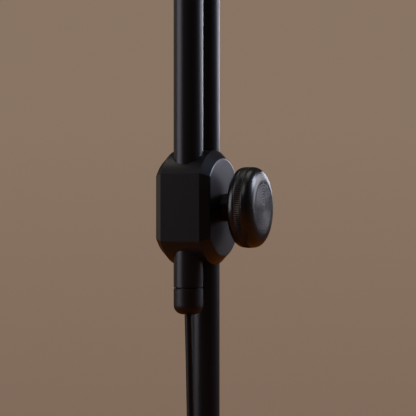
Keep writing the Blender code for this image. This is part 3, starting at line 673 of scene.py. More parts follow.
def camera_axes():
    """The directions towards the camera and to its right, on the level."""
    turn = settings().studio.azimuth
    return Vector((sin(turn), -cos(turn), 0)), Vector((cos(turn), sin(turn), 0))


class STAND_OT_camera(Operator):
    """Sets the camera level with the clamp"""

    bl_idname = "music_stand.camera"
    bl_label = "Camera"

    ASIDE = 0.0061
    DROP = 0.0003

    def execute(self, context):
        studio = settings().studio
        back, right = camera_axes()
        deselect_all()
        where = CLAMP + back * studio.camera_distance + right * self.ASIDE
        where -= Vector((0, 0, self.DROP))
        bpy.ops.object.camera_add(location=where, rotation=(pi / 2, 0, studio.azimuth))
        camera = context.object
        camera.name = "stand_camera"
        camera.data.lens = studio.lens
        camera.data.clip_start = 0.05
        context.scene.camera = camera
        return {"FINISHED"}


# Cord -------------------------------------------------------------------------------------------

CORD_D = 0.0042
CORD_MID = (0.0035, -0.0095, 0.262)
CORD_UPPER = [
    (0.0000, MAST_Y, 0.6018),
    (0.0006, -0.0122, 0.570),
    (0.0016, -0.0114, 0.500),
    (0.0024, -0.0106, 0.420),
    (0.0030, -0.0100, 0.340),
    CORD_MID,
]
CORD_LOWER = [
    (0.0035, -0.0095, 0.2617),
    (0.0042, -0.0095, 0.200),
    (0.0056, -0.0100, 0.140),
    (0.0082, -0.0112, 0.090),
    (0.0130, -0.0130, 0.052),
    (0.0220, -0.0140, 0.0275),
    (0.0350, -0.0090, 0.0180),
    (0.0480, 0.0040, 0.0167),
    (0.0580, 0.0250, 0.0167),
    (0.0620, 0.0500, 0.0167),
    (0.0600, 0.0800, 0.0167),
    (0.0540, 0.1080, 0.0168),
    (0.0475, 0.1290, 0.0169),
    (0.0440, 0.1420, 0.0162),
    (0.0410, 0.1540, 0.0112),
    (0.0380, 0.1650, 0.0055),
    (0.0348, 0.1780, 0.0028),
    (0.0328, 0.1910, 0.0024),
    (0.0320, 0.2060, 0.0024),
]
CORD_TAIL = [
    (-0.0274, 0.2090, 0.0106),
    (-0.0274, 0.2040, 0.0106),
    (-0.0278, 0.1965, 0.0105),
    (-0.0293, 0.1890, 0.0100),
    (-0.0342, 0.1808, 0.0084),
    (-0.0414, 0.1747, 0.0062),
    (-0.0500, 0.1716, 0.0045),
    (-0.0580, 0.1710, 0.0040),
]

# The coil's lays from the outer one on the floor to the top one: column inwards, row upwards, and
# the degrees over which the lay eases over to the next one. The last rise is short, to clear the tail.
LAYS = [
    (0, 0, 110),
    (1, 0, 110),
    (2, 0, 110),
    (2, 1, 110),
    (2, 2, 110),
    (1, 2, 110),
    (1, 1, 110),
    (0, 1, 50),
    (0, 2, 110),
]
LAY = 300  # degrees that each lay goes round
LAY_STEP = 10  # degrees between its points
LAY_PITCH = CORD_D + 0.0002  # from one column to the next
LAY_Z = 0.0022  # height of the lowest row
CLOSING = 120  # degrees over which the outer lay closes in from the cord's way down
CLOSING_R = 0.0046  # how far it closes in


def coil_points():
    """The cord's line through its coil, without the point that it starts from."""
    centre, outer = middle("cord_coil"), size("cord_coil").x / 2 - CORD_D / 2
    points = []
    for number, (column, row, ease) in enumerate(LAYS):
        next_column, next_row, _ = LAYS[min(number + 1, len(LAYS) - 1)]
        for turned in range(0, LAY, LAY_STEP):
            share = max(0, (turned - LAY + ease) / ease)
            share = share * share * (3 - 2 * share)
            radius = outer - LAY_PITCH * (column + (next_column - column) * share)
            if number == 0 and turned < CLOSING:
                radius += CLOSING_R * (1 + cos(pi * turned / CLOSING)) / 2
            height = LAY_Z + CORD_D * (row + (next_row - row) * share)
            angle = radians(number * LAY + turned)
            points.append((centre.x + radius * cos(angle), centre.y + radius * sin(angle), height))
    return points[1:]


def smooth_route(route, spacing):
    """Evenly spaced points on a smooth curve through a route's points."""
    points = [Vector(p) for p in route]
    points = [2 * points[0] - points[1], *points, 2 * points[-1] - points[-2]]
    dense, parts = [], 24
    for a, b, c, d in zip(points, points[1:], points[2:], points[3:]):
        for i in range(parts):
            t = i / parts
            dense.append(
                0.5 * (2 * b + (c - a) * t + (2 * a - 5 * b + 4 * c - d) * t**2)
                + 0.5 * (3 * b - a - 3 * c + d) * t**3
            )
    dense.append(points[-2])
    steps = [(q - p).length for p, q in zip(dense, dense[1:])]
    count = max(2, round(sum(steps) / spacing))
    even, travelled, wanted = [dense[0]], 0.0, sum(steps) / count
    for p, q, step in zip(dense, dense[1:], steps):
        while travelled + step >= wanted * len(even) and len(even) < count:
            even.append(p.lerp(q, (wanted * len(even) - travelled) / step))
        travelled += step
    return [*even, dense[-1]]


def cord_tube(name, line):
    """A round tube along a line, made as a curve and turned into a mesh."""
    curve = bpy.data.curves.new(name, "CURVE")
    curve.dimensions = "3D"
    curve.bevel_depth = CORD_D / 2
    curve.bevel_resolution = 5
    curve.use_fill_caps = True
    spline = curve.splines.new("POLY")
    spline.points.add(len(line) - 1)
    for knot, point in zip(spline.points, line):
        knot.co = (*point, 1)
    piece = bpy.data.objects.new(name, curve)
    bpy.context.scene.collection.objects.link(piece)
    take(piece)
    bpy.ops.object.convert(target="MESH")
    piece = bpy.context.object
    edit()
    settle_mesh()
    bpy.ops.object.shade_smooth_by_angle(angle=radians(50))
    coat(piece, "pvc_jacket")
    return piece


class STAND_OT_plug(Operator):
    """Moulds the plug's grip, with grooves above and below, and the ribbed boot that the cord enters"""

    bl_idname = "music_stand.plug"
    bl_label = "Plug"

    CORNER = 0.0022
    EDGE = 0.0008
    GROOVES = 4
    FIRST_GROOVE = 0.007
    GROOVE_PITCH = 0.0032
    GROOVE_W = 0.0012
    GROOVE_DEPTH = 0.0004
    GROOVE_END = 0.003  # from a groove's end to the side of the grip
    BOOT = 0.012
    RIBS = 5
    RIB_R = (0.0038, 0.0029)  # of the first and the last rib
    RIB_DEPTH = 0.0006
    ROOT_R = 0.0028
    TIP = [(0.0024, 0.0003), (0.0022, 0)]  # radius and length left, at the boot's end

    def execute(self, context):
        low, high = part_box("plug_body")
        grip_end = high.x - self.BOOT
        grip = slab("plug_moulding", low, (grip_end, high.y, high.z), self.CORNER, "X", 6)
        round_edges(grip, self.EDGE, 3)
        for side in (low.z, high.z):
            for number in range(self.GROOVES):
                x = low.x + self.FIRST_GROOVE + self.GROOVE_PITCH * number
                start = (x, low.y + self.GROOVE_END, side - self.GROOVE_DEPTH)
                end = (x + self.GROOVE_W, high.y - self.GROOVE_END, side + self.GROOVE_DEPTH)
                cut(grip, slab("grip_groove", start, end, 0))
        boot = self.boot()
        centre = (low + high) / 2
        place(boot, (grip_end, centre.y, centre.z), TO_X)
        apply(grip, "BOOLEAN", operation="UNION", solver="MANIFOLD", object=boot)
        bpy.data.objects.remove(boot)
        smooth(grip)
        hand_over(grip, *NYLON, "base", "plug_body")
        return {"FINISHED"}

    def boot(self):
        """The boot about Z, with ribs that narrow towards its tip."""
        pitch = self.BOOT / self.RIBS
        widest, narrowest = self.RIB_R
        outline = [(self.ROOT_R, -0.001)]
        for rib in range(self.RIBS):
            radius = widest - (widest - narrowest) * rib / (self.RIBS - 1)
            start = rib * pitch
            outline += [
                (radius, start + 0.0002),
                (radius, start + pitch * 0.62),
                (radius - self.RIB_DEPTH, start + pitch * 0.72),
                (radius - self.RIB_DEPTH, start + pitch * 0.95),
            ]
        tip = [(radius, self.BOOT - left) for radius, left in self.TIP]
        return turn_up("plug_boot", [*outline, *tip], 40)


class STAND_OT_cord(Operator):
    """Runs the supply cord from the mast's cap to its plug, with the spare length coiled"""

    bl_idname = "music_stand.cord"
    bl_label = "Supply Cord"

    SPACING = 0.0022

    def execute(self, context):
        line = smooth_route(CORD_UPPER, self.SPACING)
        upper = cord_tube("cord_hanging", line)
        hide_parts("cord_upper")
        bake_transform(upper)
        line = smooth_route([*CORD_LOWER, *coil_points(), *CORD_TAIL], self.SPACING)
        lower = cord_tube("cord_running", line)
        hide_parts("cord_lower", "cord_coil", "cord_tail")
        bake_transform(lower)
        return {"FINISHED"}


# Stage ------------------------------------------------------------------------------------------


class STAND_OT_stage(Operator):
    """Lays the pale floor, hangs the plain backdrop and sets the soft lights"""

    bl_idname = "music_stand.stage"
    bl_label = "Stage"

    FLOOR_SIDES = 160
    FLOOR_Z = -0.0002
    WARM_BELOW = "#864A12"
    COOL_ABOVE = "#38352D"
    ROOM_RISE = (-0.5, 0.0)  # height of a direction, from straight down at -1 to level at 0
    BACKDROP_RISE = (-0.15, 0.05)

    # Name, turn from the camera to its right, height angle, distance, width, height, watts, colour
    SOFTBOXES = [
        ("key_softbox", 107, 27, 2.4, 0.4, 0.7, 24, "#D8DCFF"),
        ("right_softbox", 124, 13, 2.4, 1.0, 0.9, 9, "#EEEAFA"),
        ("rim_softbox", 156, 8, 2.4, 0.5, 0.4, 6, "#E2E2FF"),
        ("left_softbox", -77, 14, 2.4, 1.8, 1.7, 23, "#F1ECFA"),
        ("back_left_softbox", -130, 16, 2.4, 1.2, 1.8, 2.5, "#FFEAD6"),
        ("top_softbox", 180, 82, 2.4, 2.0, 2.0, 13, "#FFF6EE"),
        ("front_softbox", -25, 52, 2.6, 2.0, 1.4, 9, "#FFF8F0"),
    ]

    def execute(self, context):
        deselect_all()
        bpy.ops.mesh.primitive_circle_add(
            vertices=self.FLOOR_SIDES,
            radius=settings().studio.floor_radius,
            fill_type="NGON",
            location=(0, 0, self.FLOOR_Z),
        )
        bpy.ops.object.transform_apply(location=True, rotation=True, scale=True)
        floor = context.object
        floor.name = "studio_floor"
        floor.data.materials.append(finish("matt_floor_paint"))
        floor.visible_glossy = False
        for box in self.SOFTBOXES:
            self.hang(*box)
        self.light_room(context)
        return {"FINISHED"}

    def hang(self, name, turn, rise, away, width, height, watts, code):
        """Hangs one soft light, facing the clamp."""
        back, right = camera_axes()
        level = back * cos(radians(turn)) + right * sin(radians(turn))
        towards = level * cos(radians(rise)) + Vector((0, 0, sin(radians(rise))))
        deselect_all()
        bpy.ops.object.light_add(type="AREA", location=CLAMP + towards * away)
        lamp = bpy.context.object
        lamp.name = name
        lamp.rotation_euler = (-towards).to_track_quat("-Z", "Y").to_euler()
        lamp.data.shape = "RECTANGLE"
        lamp.data.size, lamp.data.size_y = width, height
        lamp.data.energy = watts
        lamp.data.color = linear(code)
        lamp.visible_camera = False

    def light_room(self, context):
        """A plain backdrop to the eye, and a dim room that is warm below and cooler above."""
        colours = settings().colours
        world = bpy.data.worlds.new("studio")
        world.use_nodes = True
        context.scene.world = world
        tree = world.node_tree
        tree.nodes.clear()
        direction = add(tree, "ShaderNodeTexCoord").outputs["Generated"]
        height = add(tree, "ShaderNodeSeparateXYZ", {"Vector": direction}).outputs["Z"]
        below, above = linear(self.WARM_BELOW), linear(self.COOL_ABOVE)
        room = blend(tree, height, below, above, self.ROOM_RISE)
        light = add(tree, "ShaderNodeBackground", {"Color": room}).outputs[0]
        below, above = colours.backdrop_low, colours.backdrop
        backdrop = blend(tree, height, below, above, self.BACKDROP_RISE)
        seen = add(tree, "ShaderNodeBackground", {"Color": backdrop}).outputs[0]
        is_seen = add(tree, "ShaderNodeLightPath").outputs["Is Camera Ray"]
        mix = add(tree, "ShaderNodeMixShader", {0: is_seen, 1: light, 2: seen}).outputs[0]
        add(tree, "ShaderNodeOutputWorld", {"Surface": mix})


# Clamp ------------------------------------------------------------------------------------------


class STAND_OT_clamp_block(Operator):
    """Casts the clamp block: a round block cut flat front and back, chamfered and bored"""

    bl_idname = "music_stand.clamp_block"
    bl_label = "Clamp Block"

    SIDES = 192
    STEPS = 5
    CHAMBER_R = 0.00715
    CHAMBER_X = 0.001

    def execute(self, context):
        half = size("clamp_block") / 2
        block, flats = self.barrel(half), self.flats(half)
        apply(block, "BOOLEAN", operation="INTERSECT", solver="MANIFOLD", object=flats)
        bpy.data.objects.remove(flats)
        place(block, CLAMP)
        reach = Vector((0, 0, 2 * half.z))
        for y in (POST_Y, MAST_Y):
            at = Vector((0, y, CLAMP.z))
            drill(block, TUBE_R + TUBE_RUN, at - reach, at + reach, 96)
        along = Vector((1, 0, 0))
        drill(block, self.CHAMBER_R, CLAMP + along * self.CHAMBER_X, CLAMP + along * 2 * half.x, 64)
        round_edges(block, settings().sizes.clamp_edge, 2)
        smooth(block, 20)
        hand_over(block, "textured_powder_coat", "coated_casting", "clamp", "clamp_block")
        return {"FINISHED"}

    def barrel(self, half):
        """The block's round shape about X, with a chamfer and a fillet at both ends."""
        sizes = settings().sizes
        slope, fillet = sizes.chamfer, sizes.clamp_fillet
        inset = slope + fillet * tan(pi / 8)
        angles = [pi / 4 * (1 - i / self.STEPS) for i in range(self.STEPS + 1)]
        end = [(half.z - inset + fillet * sin(t), half.x - fillet + fillet * cos(t)) for t in angles]
        end.insert(0, (half.z, half.x - slope))
        outline = [*[(radius, -along) for radius, along in reversed(end)], *end]
        return place(turn_up("clamp_casting", outline, self.SIDES), turn=TO_X)

    def flats(self, half):
        """A long bar with the block's flats, and the same chamfers and fillets on its corners."""
        sizes = settings().sizes
        low, high = (-half.x, -half.y, -2 * half.z), (half.x, half.y, 2 * half.z)
        bar = slab("clamp_flats", low, high, sizes.chamfer, "Z", 1)
        take(bar)
        edit("EDGE")

        def at_end(edge):
            a, b = (vert.co for vert in edge.verts)
            return (a - b).xy.length < NEAR and abs(a.x) > half.x - NEAR

        pick("EDGE", at_end)
        offset = sizes.clamp_fillet * tan(pi / 8)
        bpy.ops.mesh.bevel(offset=offset, segments=self.STEPS, affect="EDGES")
        settle_mesh()
        return bar


class STAND_OT_stud_boss(Operator):
    """Turns the boss that carries the knob's stud"""

    bl_idname = "music_stand.stud_boss"
    bl_label = "Stud Boss"

    BORE_R = 0.00415
    SPIGOT_R = 0.00685
    EDGE = 0.0005

    def execute(self, context):
        low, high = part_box("stud_boss")
        radius, face = size("stud_boss").y / 2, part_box("clamp_block")[1].x + GAP
        outline = [
            (self.BORE_R, low.x),
            (self.SPIGOT_R, low.x),
            (self.SPIGOT_R, face),
            (radius, face),
            *round_corner(radius, high.x, self.EDGE),
            (self.BORE_R, high.x),
            (self.BORE_R, low.x),
        ]
        boss = turn_up("boss_ring", outline, 96, bored=True)
        place(boss, (0, 0, CLAMP.z), TO_X)
        smooth(boss)
        hand_over(boss, *ANODISED, "clamp", "stud_boss")
        return {"FINISHED"}


class STAND_OT_knob(Operator):
    """Turns the knob, knurls its band and cuts the rings in its face"""

    bl_idname = "music_stand.knob"
    bl_label = "Knob"

    BORE_R = 0.0043
    BORE_X = 0.0353
    EDGE = 0.0003  # run-out at each end of the knurling
    CROWN = 0.00015  # how much the band falls off at its ends
    GROOVE_W = 0.0005
    DOT_R = 0.0007
    DOT_DEPTH = 0.00015
    DOT_DISH = [(1, 0), (0.7, 0.6), (0.3, 1)]  # shares of the dot's radius and depth
    STEPS = 14

    def execute(self, context):
        sizes = settings().sizes
        low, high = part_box("knob")
        radius = size("knob").z / 2
        back_r, face_r, edge_r = sizes.knob_back_r, sizes.knob_face_r, radius - self.CROWN
        start, end = sizes.band_start, sizes.band_end
        back, front = [], []
        for t in quarter(self.STEPS):
            back.append((back_r + (edge_r - back_r) * sin(t), start - (start - low.x) * cos(t)))
            front.append((face_r + (edge_r - face_r) * cos(t), end + (high.x - end) * sin(t)))
        widths = [-1 + i / 3 for i in range(7)]
        half = (end - start) / 2 - self.EDGE
        band = [(radius - self.CROWN * w * w, (start + end) / 2 + half * w) for w in widths]
        outline = [(self.BORE_R, self.BORE_X), (self.BORE_R, low.x), *back, *band, *front]
        outline += self.grooves(sizes, high.x)
        knob = turn_up("turned_knob", outline, 2 * sizes.teeth)
        self.knurl(knob, sizes)
        place(knob, (0, 0, CLAMP.z), TO_X)
        smooth(knob, 40)
        hand_over(knob, "turned_anodised_aluminium", "black_anodised", "knob", "knob")
        return {"FINISHED"}

    def grooves(self, sizes, face):
        """Outline points inwards over the face, through its rings to the dot in its middle."""
        points, half = [], self.GROOVE_W / 2
        count = int((sizes.knob_face_r - 2 * self.DOT_R) / sizes.groove_pitch)
        for number in range(1, count + 1):
            at = sizes.knob_face_r - number * sizes.groove_pitch
            points += [(at + half, face), (at, face - sizes.groove_depth), (at - half, face)]
        dot = [(self.DOT_R * out, face - self.DOT_DEPTH * down) for out, down in self.DOT_DISH]
        return [*points, (self.DOT_R * 1.5, face), *dot]

    def knurl(self, knob, sizes):
        """Draws every second point of the band in towards the axis."""
        take(knob)
        edit("VERT")
        pitch = pi / sizes.teeth

        def in_valley(vert):
            in_band = sizes.band_start + NEAR < vert.co.z < sizes.band_end - NEAR
            if not in_band or vert.co.xy.length < self.BORE_R * 2:
                return False
            return round(Vector((1, 0)).angle_signed(vert.co.xy, 0) / pitch) % 2 == 1

        pick("VERT", in_valley)
        shrink = 1 - 2 * sizes.tooth_depth / size("knob").z
        bpy.ops.transform.resize(value=(shrink, shrink, 1), center_override=(0, 0, 0))
        settle_mesh()


# Mast and post ----------------------------------------------------------------------------------


class STAND_OT_tubes(Operator):
    """Draws the rear post and the sliding mast"""

    bl_idname = "music_stand.tubes"
    bl_label = "Tubes"

    EDGE = 0.0003
    SIDES = 96

    # Frame node, piece, body
    DRAWN = [("rear_post", "rear_post_tube", "base"), ("mast_tube", "mast_tube_drawn", "mast")]

    def execute(self, context):
        for node, name, body in self.DRAWN:
            low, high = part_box(node)
            bore = TUBE_R - TUBE_WALL
            outline = [
                (bore, low.z),
                (TUBE_R - self.EDGE, low.z),
                (TUBE_R, low.z + self.EDGE),
                *round_corner(TUBE_R, high.z, self.EDGE, steps=3),
                (bore, high.z),
                (bore, low.z),
            ]
            tube = turn_up(name, outline, self.SIDES, bored=True)
            place(tube, (0, middle(node).y, 0))
            smooth(tube)
            hand_over(tube, *COAT, body, node)
        return {"FINISHED"}


class STAND_OT_end_caps(Operator):
    """Moulds the mast's lower cap, with the cord's hole in it, and the post's top cap"""

    bl_idname = "music_stand.end_caps"
    bl_label = "End Caps"

    HOLE_R = 0.0024
    HOLE_EDGE = (0.0005, 0.0006)  # chamfer at the hole's mouth, along and up
    SIDES = 96
    STEPS = 12
    LIP = 0.0003
    POST_SIDE = 0.0016  # straight side of the post's cap, under its dome

    def execute(self, context):
        self.mast_cap()
        self.post_cap()
        return {"FINISHED"}

    def mast_cap(self):
        """Moulds the mast's cap, rounded below, with a seam between it and its tube."""
        sizes = settings().sizes
        low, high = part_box("mast_cap")
        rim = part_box("mast_tube")[0].z - sizes.cap_seam
        along, up = self.HOLE_EDGE
        corner, turns = sizes.cap_round, quarter(self.STEPS)
        outline = [
            (self.HOLE_R, low.z + up),
            (self.HOLE_R + along, low.z),
            *[(TUBE_R - corner + corner * sin(t), low.z + corner - corner * cos(t)) for t in turns],
            (TUBE_R, rim - self.LIP),
            (TUBE_R - self.LIP, rim),
            (INSERT_R, rim),
            (INSERT_R, high.z),
            (self.HOLE_R, high.z),
            (self.HOLE_R, low.z + up),
        ]
        cap = turn_up("mast_end_cap", outline, self.SIDES, bored=True)
        place(cap, (0, MAST_Y, 0))
        smooth(cap, 25)
        hand_over(cap, *NYLON, "mast", "mast_cap")

    def post_cap(self):
        """Moulds the post's cap with a dome on top."""
        low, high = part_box("post_cap")
        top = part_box("rear_post")[1].z + GAP
        rise, side = high.z - top, self.POST_SIDE
        turns = quarter(self.STEPS)[:-1]
        outline = [
            (INSERT_R, low.z),
            (INSERT_R, top),
            (TUBE_R, top),
            *[(TUBE_R * cos(t), top + side + (rise - side) * sin(t)) for t in turns],
        ]
        cap = turn_up("post_end_cap", outline, self.SIDES)
        place(cap, (0, POST_Y, 0))
        smooth(cap, 40)
        hand_over(cap, *NYLON, "base", "post_cap")


# Base -------------------------------------------------------------------------------------------


class STAND_OT_base(Operator):
    """Makes the weighted disc, and the flange and set screw that hold the post on it"""

    bl_idname = "music_stand.base"
    bl_label = "Base"

    UNDER_EDGE = 0.001
    BOLT_R = 0.0043
    HEAD_R = 0.0075
    HEAD_H = 0.0056
    COLLAR_R = 0.0125
    FLANGE_H = 0.005
    FLANGE_EDGE = 0.0012
    FILLET = 0.0016  # between the flange's plate and its collar
    SCREW_EDGE = 0.0003
    SOCKET_R = 0.0014
    SOCKET_DEPTH = 0.0015

    def execute(self, context):
        self.disc()
        self.flange()
        self.set_screw()
        return {"FINISHED"}

    def disc(self):
        """Turns the disc, rounded above and below, and bores it for the post's bolt."""
        edge = settings().sizes.base_edge
        low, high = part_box("base_disc")
        radius = size("base_disc").x / 2
        bow = 0.3 * self.UNDER_EDGE  # from the corner to the middle of its rounding
        outline = [
            (radius - self.UNDER_EDGE, low.z),
            (radius - bow, low.z + bow),
            (radius, low.z + self.UNDER_EDGE),
            *round_corner(radius, high.z, edge, steps=8),
        ]
        disc = turn_up("base_plate", outline, 192)
        drill(disc, self.BOLT_R, (0, POST_Y, 0), (0, POST_Y, 2 * high.z), 48)
        drill(disc, self.HEAD_R, (0, POST_Y, -low.z), (0, POST_Y, low.z + self.HEAD_H), 48)
        smooth(disc)
        hand_over(disc, "textured_powder_coat", "black_coat", "base", "base_disc")

    def flange(self):
        """Turns the flange with its collar, and drills it for the set screw."""
        low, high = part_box("post_flange")
        radius, bore = size("post_flange").x / 2, TUBE_R + GAP
        step, collar, fillet = low.z + self.FLANGE_H, self.COLLAR_R, self.FILLET
        outline = [
            (bore, low.z),
            (radius, low.z),
            *round_corner(radius, step, self.FLANGE_EDGE),
            *[(collar + fillet * (1 - sin(t)), step + fillet * (1 - cos(t))) for t in quarter(5)],
            *round_corner(collar, high.z, self.FLANGE_EDGE),
            (bore, high.z),
            (bore, low.z),
        ]
        flange = turn_up("post_socket", outline, 96, bored=True)
        place(flange, (0, POST_Y, 0))
        at = middle("flange_set_screw")
        hole = size("flange_set_screw").x / 2 + GAP
        drill(flange, hole, (0, POST_Y + TUBE_R, at.z), (0, POST_Y + 2 * self.COLLAR_R, at.z), 40)
        smooth(flange)
        hand_over(flange, *COAT, "base", "post_flange")

    def set_screw(self):
        """Turns the set screw and cuts the six-sided socket in its end."""
        low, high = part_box("flange_set_screw")
        radius = size("flange_set_screw").x / 2
        length = high.y - low.y
        outline = [(radius, 0), *round_corner(radius, length, self.SCREW_EDGE, steps=2)]
        screw = turn_up("socket_set_screw", outline, 40)
        deselect_all()
        bpy.ops.mesh.primitive_cylinder_add(
            vertices=6, radius=self.SOCKET_R, depth=2 * self.SOCKET_DEPTH, location=(0, 0, length)
        )
        cut(screw, bpy.context.object)
        place(screw, (0, low.y, middle("flange_set_screw").z), TO_Y)
        smooth(screw)
        hand_over(screw, *STEEL, "base", "flange_set_screw")


# Desk -------------------------------------------------------------------------------------------

PLATE_BACK = -0.0350  # behind this the desk's fittings stand, measured from its hinge
PLATE_T = 0.0015
PLATE_FRONT = PLATE_BACK - PLATE_T
PLATE_LOW = -0.115
PLATE_HIGH = 0.215
SLOT_W = 0.010
SLOT_Z = (-0.050, 0.160)
SLOTS = 4
SCREWS = [*both("bracket_screw"), *both("ledge_screw")]
SCREW_HOLE_R = 0.0023
RIVETS = both("arm_rivet")
RIVET_HOLE_R = 0.0025


def lean(piece):
    """Leans a piece that was modelled upright round the tilt hinge."""
    return place(piece, HINGE, (-DESK_LEAN, 0, 0))


def upright(point):
    """Where a point of the leaning desk lies with the desk upright round its hinge."""
    x, y, z = point - HINGE
    turned_y = y * cos(DESK_LEAN) - z * sin(DESK_LEAN)
    turned_z = y * sin(DESK_LEAN) + z * cos(DESK_LEAN)
    return Vector((x, turned_y, turned_z))


class STAND_OT_desk_plate(Operator):
    """Stamps the desk plate with its rounded corners, slots and holes"""

    bl_idname = "music_stand.desk_plate"
    bl_label = "Desk Plate"

    EDGE = 0.0004
    FIRST_SLOT = 0.070  # from the plate's middle
    LAST_SLOT = 0.065  # from the plate's side
    THROUGH_Y = (-0.06, -0.01)  # from before the plate to behind it
    SLOT_END = SLOT_W / 2 - 0.00001

    def execute(self, context):
        sizes = settings().sizes
        half = size("desk_plate").x / 2
        low, high = (-half, PLATE_FRONT, PLATE_LOW), (half, PLATE_BACK, PLATE_HIGH)
        plate = slab("desk_sheet", low, high, sizes.plate_corner, "Y", 16)
        step = (half - self.LAST_SLOT - self.FIRST_SLOT) / (SLOTS - 1)
        for side in (-1, 1):
            for number in range(SLOTS):
                x = side * (self.FIRST_SLOT + step * number)
                low = (x - SLOT_W / 2, PLATE_FRONT - 0.01, SLOT_Z[0])
                high = (x + SLOT_W / 2, PLATE_BACK + 0.01, SLOT_Z[1])
                cut(plate, slab("slot", low, high, self.SLOT_END, "Y", 16))
        front, back = self.THROUGH_Y
        for name in [*SCREWS, *RIVETS]:
            at = upright(middle(name))
            radius = RIVET_HOLE_R if name in RIVETS else SCREW_HOLE_R
            drill(plate, radius, (at.x, front, at.z), (at.x, back, at.z), 32)
        round_edges(plate, self.EDGE, 3, 40)
        smooth(plate)
        lean(plate)
        hand_over(plate, *COAT, "desk", "desk_plate")
        return {"FINISHED"}


class STAND_OT_desk_fittings(Operator):
    """Rounds off the ledge, the page arms, the spine cover and the hinge's castings"""

    bl_idname = "music_stand.desk_fittings"
    bl_label = "Desk Fittings"

    # Frame node, piece, finish, slot, body, edge rounding
    FITTINGS = [
        ("ledge", "folded_ledge", *COAT, "desk", 0.0005),
        ("page_arm_left", "sprung_page_arm_left", *COAT, "page_arm_left", 0.0003),
        ("page_arm_right", "sprung_page_arm_right", *COAT, "page_arm_right", 0.0003),
        ("desk_spine", "spine_cover", *COAT, "desk", 0.0003),
        ("desk_bracket", "hinge_bracket", *ANODISED, "desk", 0.0004),
        ("swivel_yoke", "hinge_yoke", *ANODISED, "swivel", 0.0004),
        ("mast_head", "mast_head_bush", *ANODISED, "mast", 0.0003),
        ("tilt_nut", "hinge_nut", *STEEL, "swivel", 0.0004),
        ("tilt_bolt", "hinge_bolt", *STEEL, "swivel", 0.0003),
    ]

    def execute(self, context):
        round_off(self.FITTINGS)
        return {"FINISHED"}


# Lamp -------------------------------------------------------------------------------------------


class STAND_OT_lamp(Operator):
    """Rounds off the lamp's bracket, arm, mount, channel, end caps and diffuser"""

    bl_idname = "music_stand.lamp"
    bl_label = "Reading Lamp"

    # Frame node, piece, finish, slot, body, edge rounding
    PIECES = [
        ("lamp_bracket", "lamp_fork", *ANODISED, "desk", 0.0004),
        ("lamp_arm", "bent_lamp_arm", *COAT, "lamp_arm", 0.0006),
        ("lamp_mount", "lamp_saddle", *ANODISED, "lamp", 0.0003),
        ("lamp_body", "lamp_channel", *ANODISED, "lamp", 0.0003),
        ("lamp_end_left", "lamp_cap_left", *NYLON, "lamp", 0.0006),
        ("lamp_end_right", "lamp_cap_right", *NYLON, "lamp", 0.0006),
        ("diffuser", "lamp_diffuser", "opal_acrylic", "opal", "lamp", 0.0005),
    ]

    def execute(self, context):
        round_off(self.PIECES)
        return {"FINISHED"}


class STAND_OT_lamp_button(Operator):
    """Moulds the lamp's push button with a dished top"""

    bl_idname = "music_stand.lamp_button"
    bl_label = "Lamp Button"

    RADIUS = 0.0048
    FOOT = -0.0200
    TOP = -0.0145
    EDGE = 0.0006
    DISH = 0.0004
    RINGS = 6

    def execute(self, context):
        rim = self.RADIUS - self.EDGE
        dish = [rim * (1 - i / self.RINGS) for i in range(1, self.RINGS)]
        outline = [
            (self.RADIUS, self.FOOT),
            *round_corner(self.RADIUS, self.TOP, self.EDGE),
            *[(r, self.TOP - self.DISH * (1 - (r / rim) ** 2)) for r in dish],
        ]
        button = turn_up("dished_button", outline, 64)
        place(button, LAMP_AXIS + Vector((middle("lamp_button").x, 0, 0)), (-LAMP_LEAN, 0, 0))
        smooth(button)
        hand_over(button, *NYLON, "button", "lamp_button")
        return {"FINISHED"}


# Pieces that stay as the frame has them ---------------------------------------------------------


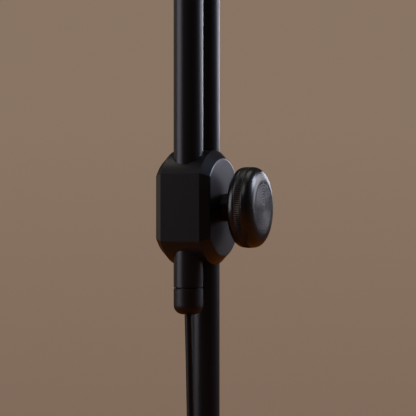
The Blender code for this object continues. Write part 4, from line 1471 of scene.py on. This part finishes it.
class STAND_OT_frame_finishes(Operator):
    """Gives the frame's own nodes that stay in view their finishes"""

    bl_idname = "music_stand.frame_finishes"
    bl_label = "Frame Finishes"

    LOOKS = {
        "zinc_plated_steel": [
            "base_bolt",
            "post_plug",
            "knob_stud",
            "stem_clip",
            *SCREWS,
            *RIVETS,
            "arm_pin",
            "lamp_pin",
            "plug_shell",
        ],
        "moulded_nylon": ["cord_grip", *both("tilt_washer"), "switch_module", "plug_tongue"],
        "pvc_jacket": ["inner_lead", "spine_lead"],
        "free_cutting_brass": ["wedge_shoe"],
        "wool_felt": ["base_felt"],
        "white_solder_mask": ["led_board"],
    }

    def execute(self, context):
        for look, nodes in self.LOOKS.items():
            for node in nodes:
                coat(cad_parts[node], look)
        return {"FINISHED"}


# Add-on -----------------------------------------------------------------------------------------

STEPS = (
    STAND_OT_camera,
    STAND_OT_plug,
    STAND_OT_cord,
    STAND_OT_stage,
    STAND_OT_clamp_block,
    STAND_OT_stud_boss,
    STAND_OT_knob,
    STAND_OT_tubes,
    STAND_OT_end_caps,
    STAND_OT_base,
    STAND_OT_desk_plate,
    STAND_OT_desk_fittings,
    STAND_OT_lamp,
    STAND_OT_lamp_button,
    STAND_OT_frame_finishes,
)


class STAND_PT_pieces(Panel):
    """Lists the stand's pieces and settings"""

    bl_idname = "STAND_PT_pieces"
    bl_label = "Music Stand"
    bl_space_type = "VIEW_3D"
    bl_region_type = "UI"
    bl_category = "Music Stand"

    def draw(self, context):
        column = self.layout.column()
        for step in STEPS:
            column.operator(step.bl_idname)
        for group in ("sizes", "colours", "studio"):
            values = getattr(context.scene.music_stand, group)
            box = self.layout.box()
            for name in values.__annotations__:
                box.prop(values, name)


CLASSES = (StandColours, StandSizes, StandStudio, StandSettings, *STEPS, STAND_PT_pieces)


def register():
    """Adds the stand's classes and settings."""
    for kind in CLASSES:
        bpy.utils.register_class(kind)
    bpy.types.Scene.music_stand = PointerProperty(type=StandSettings)


def unregister():
    """Removes the stand's settings and classes."""
    del bpy.types.Scene.music_stand
    for kind in reversed(CLASSES):
        bpy.utils.unregister_class(kind)


def main():
    """Builds the stand piece by piece."""
    register()
    for step in STEPS:
        group, name = step.bl_idname.split(".")
        if getattr(getattr(bpy.ops, group), name)() != {"FINISHED"}:
            raise RuntimeError(f"{step.bl_label} did not finish")
    deselect_all()


if __name__ == "__main__":
    main()
